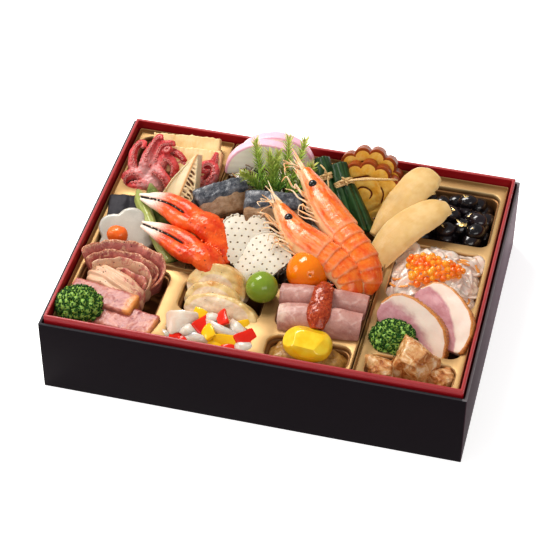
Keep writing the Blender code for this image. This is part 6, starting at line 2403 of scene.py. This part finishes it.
def herring_paint(own, tint, edge):
    """Pale yellow roe of tiny grains under a thin skin; its thin edges are painted paler and the whole glows
    faintly in its own colour, as painted light.
    """
    cloud = own.noise(14.0, 3.0, 0.6)
    grain = own.cells(0.85)
    fold = own.moved(size=(1, 1, 0.14)).noise(3.0, 4.0, 0.6, 1.0)
    colour = cloud.step(0.3, 0.7).mixed((0.62, 0.40, 0.16), (0.70, 0.50, 0.25))
    colour = (fold.step(0.52, 0.7) * 0.35).mixed(colour, (0.62, 0.35, 0.09))
    # Paler at the thin edges: painted light showing through them.
    colour = (edge * 0.5).mixed(colour, (0.80, 0.62, 0.33))
    # The colour also goes out as a faint glow: painted light.
    return colour, cloud * 0.15 + 0.32, (fold * 0.7 - grain * 0.5).bump(0.3, 0.5), colour


def make_herring_roe():
    roe = finish(
        "herring_roe", herring_paint, Specular_IOR_Level=0.15, Emission_Strength=0.14,
        **flesh(0.45, (1.0, 0.75, 0.4), 4.0),
    )
    for number, (node, (route, widths, heights)) in enumerate(HERRING_ROE.items()):
        lobe = bar(node + "_lobe", rings=110, sides=56)
        points = points_of(lobe)
        turn = np.arctan2(points[:, 1], points[:, 0])
        frill = 0.045 * lumps(np.c_[points[:, 2] * 30, turn, turn], 1.6, number)
        points[:, :2] *= (1 + frill * np.abs(np.cos(turn)) ** 6)[:, None]
        set_points(lobe, points)
        bend(lobe, route, widths, heights)
        tinted(lobe, np.abs(np.cos(turn)) ** 8, EDGE)
        carve(lobe, lambda p, n: 0.5 * lumps(p, 12.0, number) + 0.12 * lumps(p, 3.5, 2))
        place(lobe, roe, "roe_sac", node)


# Leaf parcels, their ties and the sprigs.

PARCELS = {  # each one's middle line, from the top to the foot
    "leaf_parcel_left": ((5, 73, 74), (9, 66, 70), (13, 58, 66), (19, 47, 60), (24, 38, 53)),
    "leaf_parcel_right": ((17.5, 69, 75), (21, 62, 71), (26, 54, 67), (34, 42, 60), (42, 31, 52)),
}
LEAF_STRIPS = (  # how far across and up each folded leaf lies at the top and the foot
    (-2.4, 1.2, -5.4, 0.6), (0.2, 2.8, -0.6, 3.6), (2.6, 1.4, 5.2, 1.2),
    (-1.2, -1.8, -8.4, -2.6), (1.6, -1.6, 8.8, -2.4), (0.4, 0.2, 1.8, -1.0),
)


def leaf_paint(own, tint, edge):
    """A dark glossy leaf with fine veins along it."""
    vein = own.moved(size=(1, 1, 0.02)).noise(0.8, 3.0, 0.6)
    cloud = own.noise(9.0, 3.0, 0.6)
    colour = cloud.step(0.3, 0.7).mixed((0.006, 0.030, 0.008), (0.02, 0.075, 0.02))
    colour = (vein.step(0.5, 0.7) * 0.4).mixed(colour, (0.04, 0.12, 0.035))
    colour = (tint * 0.35).mixed(colour, (0.16, 0.26, 0.09))
    return colour, cloud * 0.15 + 0.24, vein.bump(0.35, 0.6)


def raffia_paint(own, tint, edge):
    fibre = own.noise(0.5, 3.0, 0.6)
    return (
        fibre.step(0.3, 0.7).mixed((0.55, 0.27, 0.08), (0.93, 0.74, 0.40)),
        fibre * 0.2 + 0.28,
        fibre.bump(0.2, 0.5),
    )


def make_parcels():
    """Each parcel's folded strips of leaf, and the straw that ties them."""
    leaf = finish("green_leaf", leaf_paint, coat=(0.4, 0.15))
    straw = finish("raffia", raffia_paint, Coat_Weight=0.2)
    rng = random.Random(17)
    for number, (node, route) in enumerate(PARCELS.items()):
        strips = []
        path = [Vector(spot) for spot in route]
        along = (path[-1] - path[0]).normalized()
        across = along.cross(Vector((0, 0, 1))).normalized()
        rise = across.cross(along)
        for k, (x0, z0, x1, z1) in enumerate(LEAF_STRIPS):
            line = []
            for j, spot in enumerate(path):
                share = j / (len(path) - 1)
                pinch = 1 - 0.45 * math.exp(-(((share - 0.32) / 0.12) ** 2))
                x = (x0 + (x1 - x0) * share) * pinch
                z = (z0 + (z1 - z0) * share) * pinch
                line.append(spot + across * x + rise * z)
            strip = bar("strip", rings=70, sides=24)
            points = points_of(strip)
            points[:, 1] -= 0.75 * np.abs(points[:, 0]) - 0.35
            set_points(strip, points)
            wide = rng.uniform(0.9, 1.1)
            bend(strip, line, [w * wide for w in (2.9, 3.6, 2.9, 3.6, 3.8, 2.8)],
                 (1.8, 2.2, 1.9, 2.3, 2.3, 1.5), rise)
            tinted(strip, np.exp(-((points[:, 0] / 0.12) ** 2)) * 0.7)
            carve(strip, lambda p, n: 0.3 * lumps(p, 5.0, k + number * 6))
            strips.append(strip)
        place(merged(node + "_strips", strips), leaf, "leaf", node)
        knot = path[1].lerp(path[2], 0.6)
        loops = []
        for k in range(7):
            shift = along * (k - 3) * 0.55
            ring = [
                knot + shift + across * 6.4 * math.cos(a) + rise * 5.2 * math.sin(a) + along * 0.5
                * math.sin(2 * a + k)
                for a in np.linspace(0, math.tau, 17)
            ]
            loops.append(ring)
        front = knot + rise * 5.4 + across * 0.5
        ends = ((34, 5, 4), (33, 2, 7), (27, 7, 1)) if number else ((4, -12, -7), (7, -9, -9), (-6, 5, 4))
        for end in ends:
            tail = front + Vector(end)
            sag = Vector((rng.uniform(-1, 1), rng.uniform(-1, 1), rng.uniform(0.5, 2.5)))
            loops.append([front, front.lerp(tail, 0.35) + sag, front.lerp(tail, 0.7) + sag * 0.6, tail])
        for k in range(4):
            turn = k * 1.7
            bow = across * math.cos(turn) * 3.2 + along * math.sin(turn) * 3.0
            over_bow = front + bow * 0.6 + rise * 1.6
            loops.append([front - rise * 0.6, over_bow, front + bow, front - rise * 0.4])
        place(threads(node + "_tie", loops, 0.62, 6, 0.8), straw, "gold_foil")


NEEDLE_ROWS = 24
SPRIG_TIPS = (
    (-38, 64, 88), (-27, 56, 86), (-21, 58, 86), (-17, 71, 89), (-6, 71, 89), (-42, 43, 75),
    (2, 58, 79),
)


def sprig_paint(own, tint, edge):
    """Needles: bright green, yellower towards the tip of the sprig."""
    cloud = own.noise(1.5, 2.0)
    return (
        tint.ramp((0.0, (0.12, 0.26, 0.045)), (0.4, (0.36, 0.50, 0.09)), (1.0, (0.74, 0.72, 0.22))),
        cloud * 0.2 + 0.38,
    )


def make_sprigs():
    """Needles along stems, kept under the CAD's top."""
    green = finish("sprig_needles", sprig_paint, **flesh(0.15, (0.6, 1.0, 0.2), 0.8))
    rng = random.Random(8)
    to_eye = Vector((0.17, -0.7, 0.69))
    stems, places, tints = [], [], []
    for tip in SPRIG_TIPS:
        tip = Vector(tip)
        foot = Vector((-20 + (tip.x + 20) * 0.45, 44.5, 60))
        bow = foot.lerp(tip, 0.5) + Vector((rng.uniform(-2, 2), 2.5, 1.5))
        path = smooth_path((foot, bow, tip), 16)
        stems.append((foot, bow, tip))
        for k in range(NEEDLE_ROWS):
            share = 0.08 + 0.92 * k / (NEEDLE_ROWS - 1)
            index = min(int(share * (len(path) - 1)), len(path) - 2)
            spot = Vector(path[index]).lerp(Vector(path[index + 1]), share * (len(path) - 1) - index)
            along = Vector(path[index + 1] - path[index]).normalized()
            side = along.cross(to_eye).normalized()
            spread_out = 1.0 - 0.55 * max(0.0, share - 0.75) / 0.25
            for flip in (-1, 1, 0):
                if flip == 0 and k % 3:
                    continue
                out = along * rng.uniform(0.75, 1.1) + side * flip * rng.uniform(0.9, 1.2) * spread_out
                out += to_eye * rng.uniform(-0.25, 0.5) + Vector((0, 0, 0.15))
                places.append(
                    heading(spot, out, rng.uniform(0, 90), rng.uniform(0.8, 1.15) * (1.1 - 0.25 * share))
                )
                tints.append(min(1.0, max(0.0, share * 0.75 + rng.uniform(-0.15, 0.25))))
    needle = primitive("cone", "needle", vertices=5, radius1=0.85 * MM, radius2=0.12 * MM, depth=6.8 * MM)
    shape(needle, lambda p: p * (1, 0.6, 1) + (0, 0, 3.4) + np.outer(0.02 * (p[:, 2] + 3.4) ** 2, (1, 0, 0)))
    place(leaned(sown("sprig_needles", needle, places, tints)), green, "sprig", "sprigs")
    stem_mesh = leaned(threads("sprig_stems", stems, 0.75, 6, 0.5))
    tinted(stem_mesh, np.full(len(stem_mesh.data.vertices), 0.35))
    place(stem_mesh, green, "sprig")


# The bed of little dried sardines.


SARDINES = 250


def sardine_paint(own, tint, edge):
    """Candied sardines: silver flanks, brown backs and syrup."""
    cloud = own.noise(2.5, 4.0, 0.65)
    fine = own.noise(0.6, 3.0, 0.7)
    back = tint.mixed((0.10, 0.045, 0.018), (0.36, 0.20, 0.08))
    flank = cloud.mixed((0.38, 0.36, 0.33), (0.80, 0.76, 0.66))
    colour = (own.part(1) * 0.6 + cloud - 0.5).step(-0.3, 0.5).mixed(flank, back)
    colour = (fine.step(0.6, 0.8) * 0.6).mixed(colour, (0.85, 0.80, 0.70))
    return colour, fine * 0.2 + 0.14, fine.bump(0.25, 0.6), None, cloud.step(0.45, 0.8) * 0.4


def bed_paint(own, tint, edge):
    cloud = own.noise(3.0, 4.0, 0.7)
    return (
        cloud.step(0.3, 0.7).mixed((0.02, 0.010, 0.006), (0.13, 0.065, 0.03)),
        cloud * 0.3 + 0.25,
        cloud.bump(1.2, 0.8),
    )


def make_sardines():
    syrup = finish("candied_sardines", sardine_paint, coat=(0.7, 0.08))
    dark = finish("sardine_bed", bed_paint, Coat_Weight=0.4)
    bed = remeshed(copied("sardine_heap", "sardine_bed"), 1.2, 3)
    shape(bed, lambda p: p - (0, 0, 0.6))
    carve(bed, lambda p, n: 0.9 * lumps(p, 3.5, 2) * np.clip(n[:, 2] + 0.3, 0, 1) - 0.4)
    place(bed, dark, "sardine", "sardine_heap")
    rng = random.Random(3)
    small = ball("sardine", (6.5, 1.15, 1.0), detail=2)
    shape(small, lambda p: np.c_[p[:, 0], p[:, 1] * (1 - 0.3 * p[:, 0] / 6.5), p[:, 2]]
          + np.outer(0.03 * p[:, 0] ** 2, (0, 1, 0.4)))
    places = []
    for k in range(SARDINES):
        turn, out = rng.uniform(0, math.tau), rng.random() ** 0.6
        x, y = -28 + math.cos(turn) * out * 29, 62 + math.sin(turn) * out * 25
        z = 47 + 14.5 * math.sqrt(max(0.0, 1 - out * out)) + rng.uniform(-0.5, 1.6)
        if k % 4 == 0:
            x, y, z = rng.uniform(-50, 60), rng.uniform(-20, 88), 48.4
        tilt = Vector((rng.uniform(-0.35, 0.35), rng.uniform(-0.35, 0.35), 1))
        places.append(heading((x, y, z), tilt, rng.uniform(0, 360), rng.uniform(0.7, 1.1)))
    tints = [rng.random() for _ in places]
    place(sown("candied_sardines", small, places, tints), syrup, "sardine")


make_camera()
make_lamps()
make_floor()
make_box()
make_trays()
make_shrimps()
make_claws()
make_squid()
make_round_fruit()
make_ham_rolls()
make_chestnut()
make_chicken()
make_pepper_mix()
make_broccoli()
make_duck()
make_meats()
make_salad()
make_beans()
make_octopus()
make_bamboo()
make_stewed_roots()
make_pastrami()
make_ham_sticks()
make_fish()
make_kamaboko()
make_datemaki()
make_herring_roe()
make_parcels()
make_sprigs()
make_sardines()
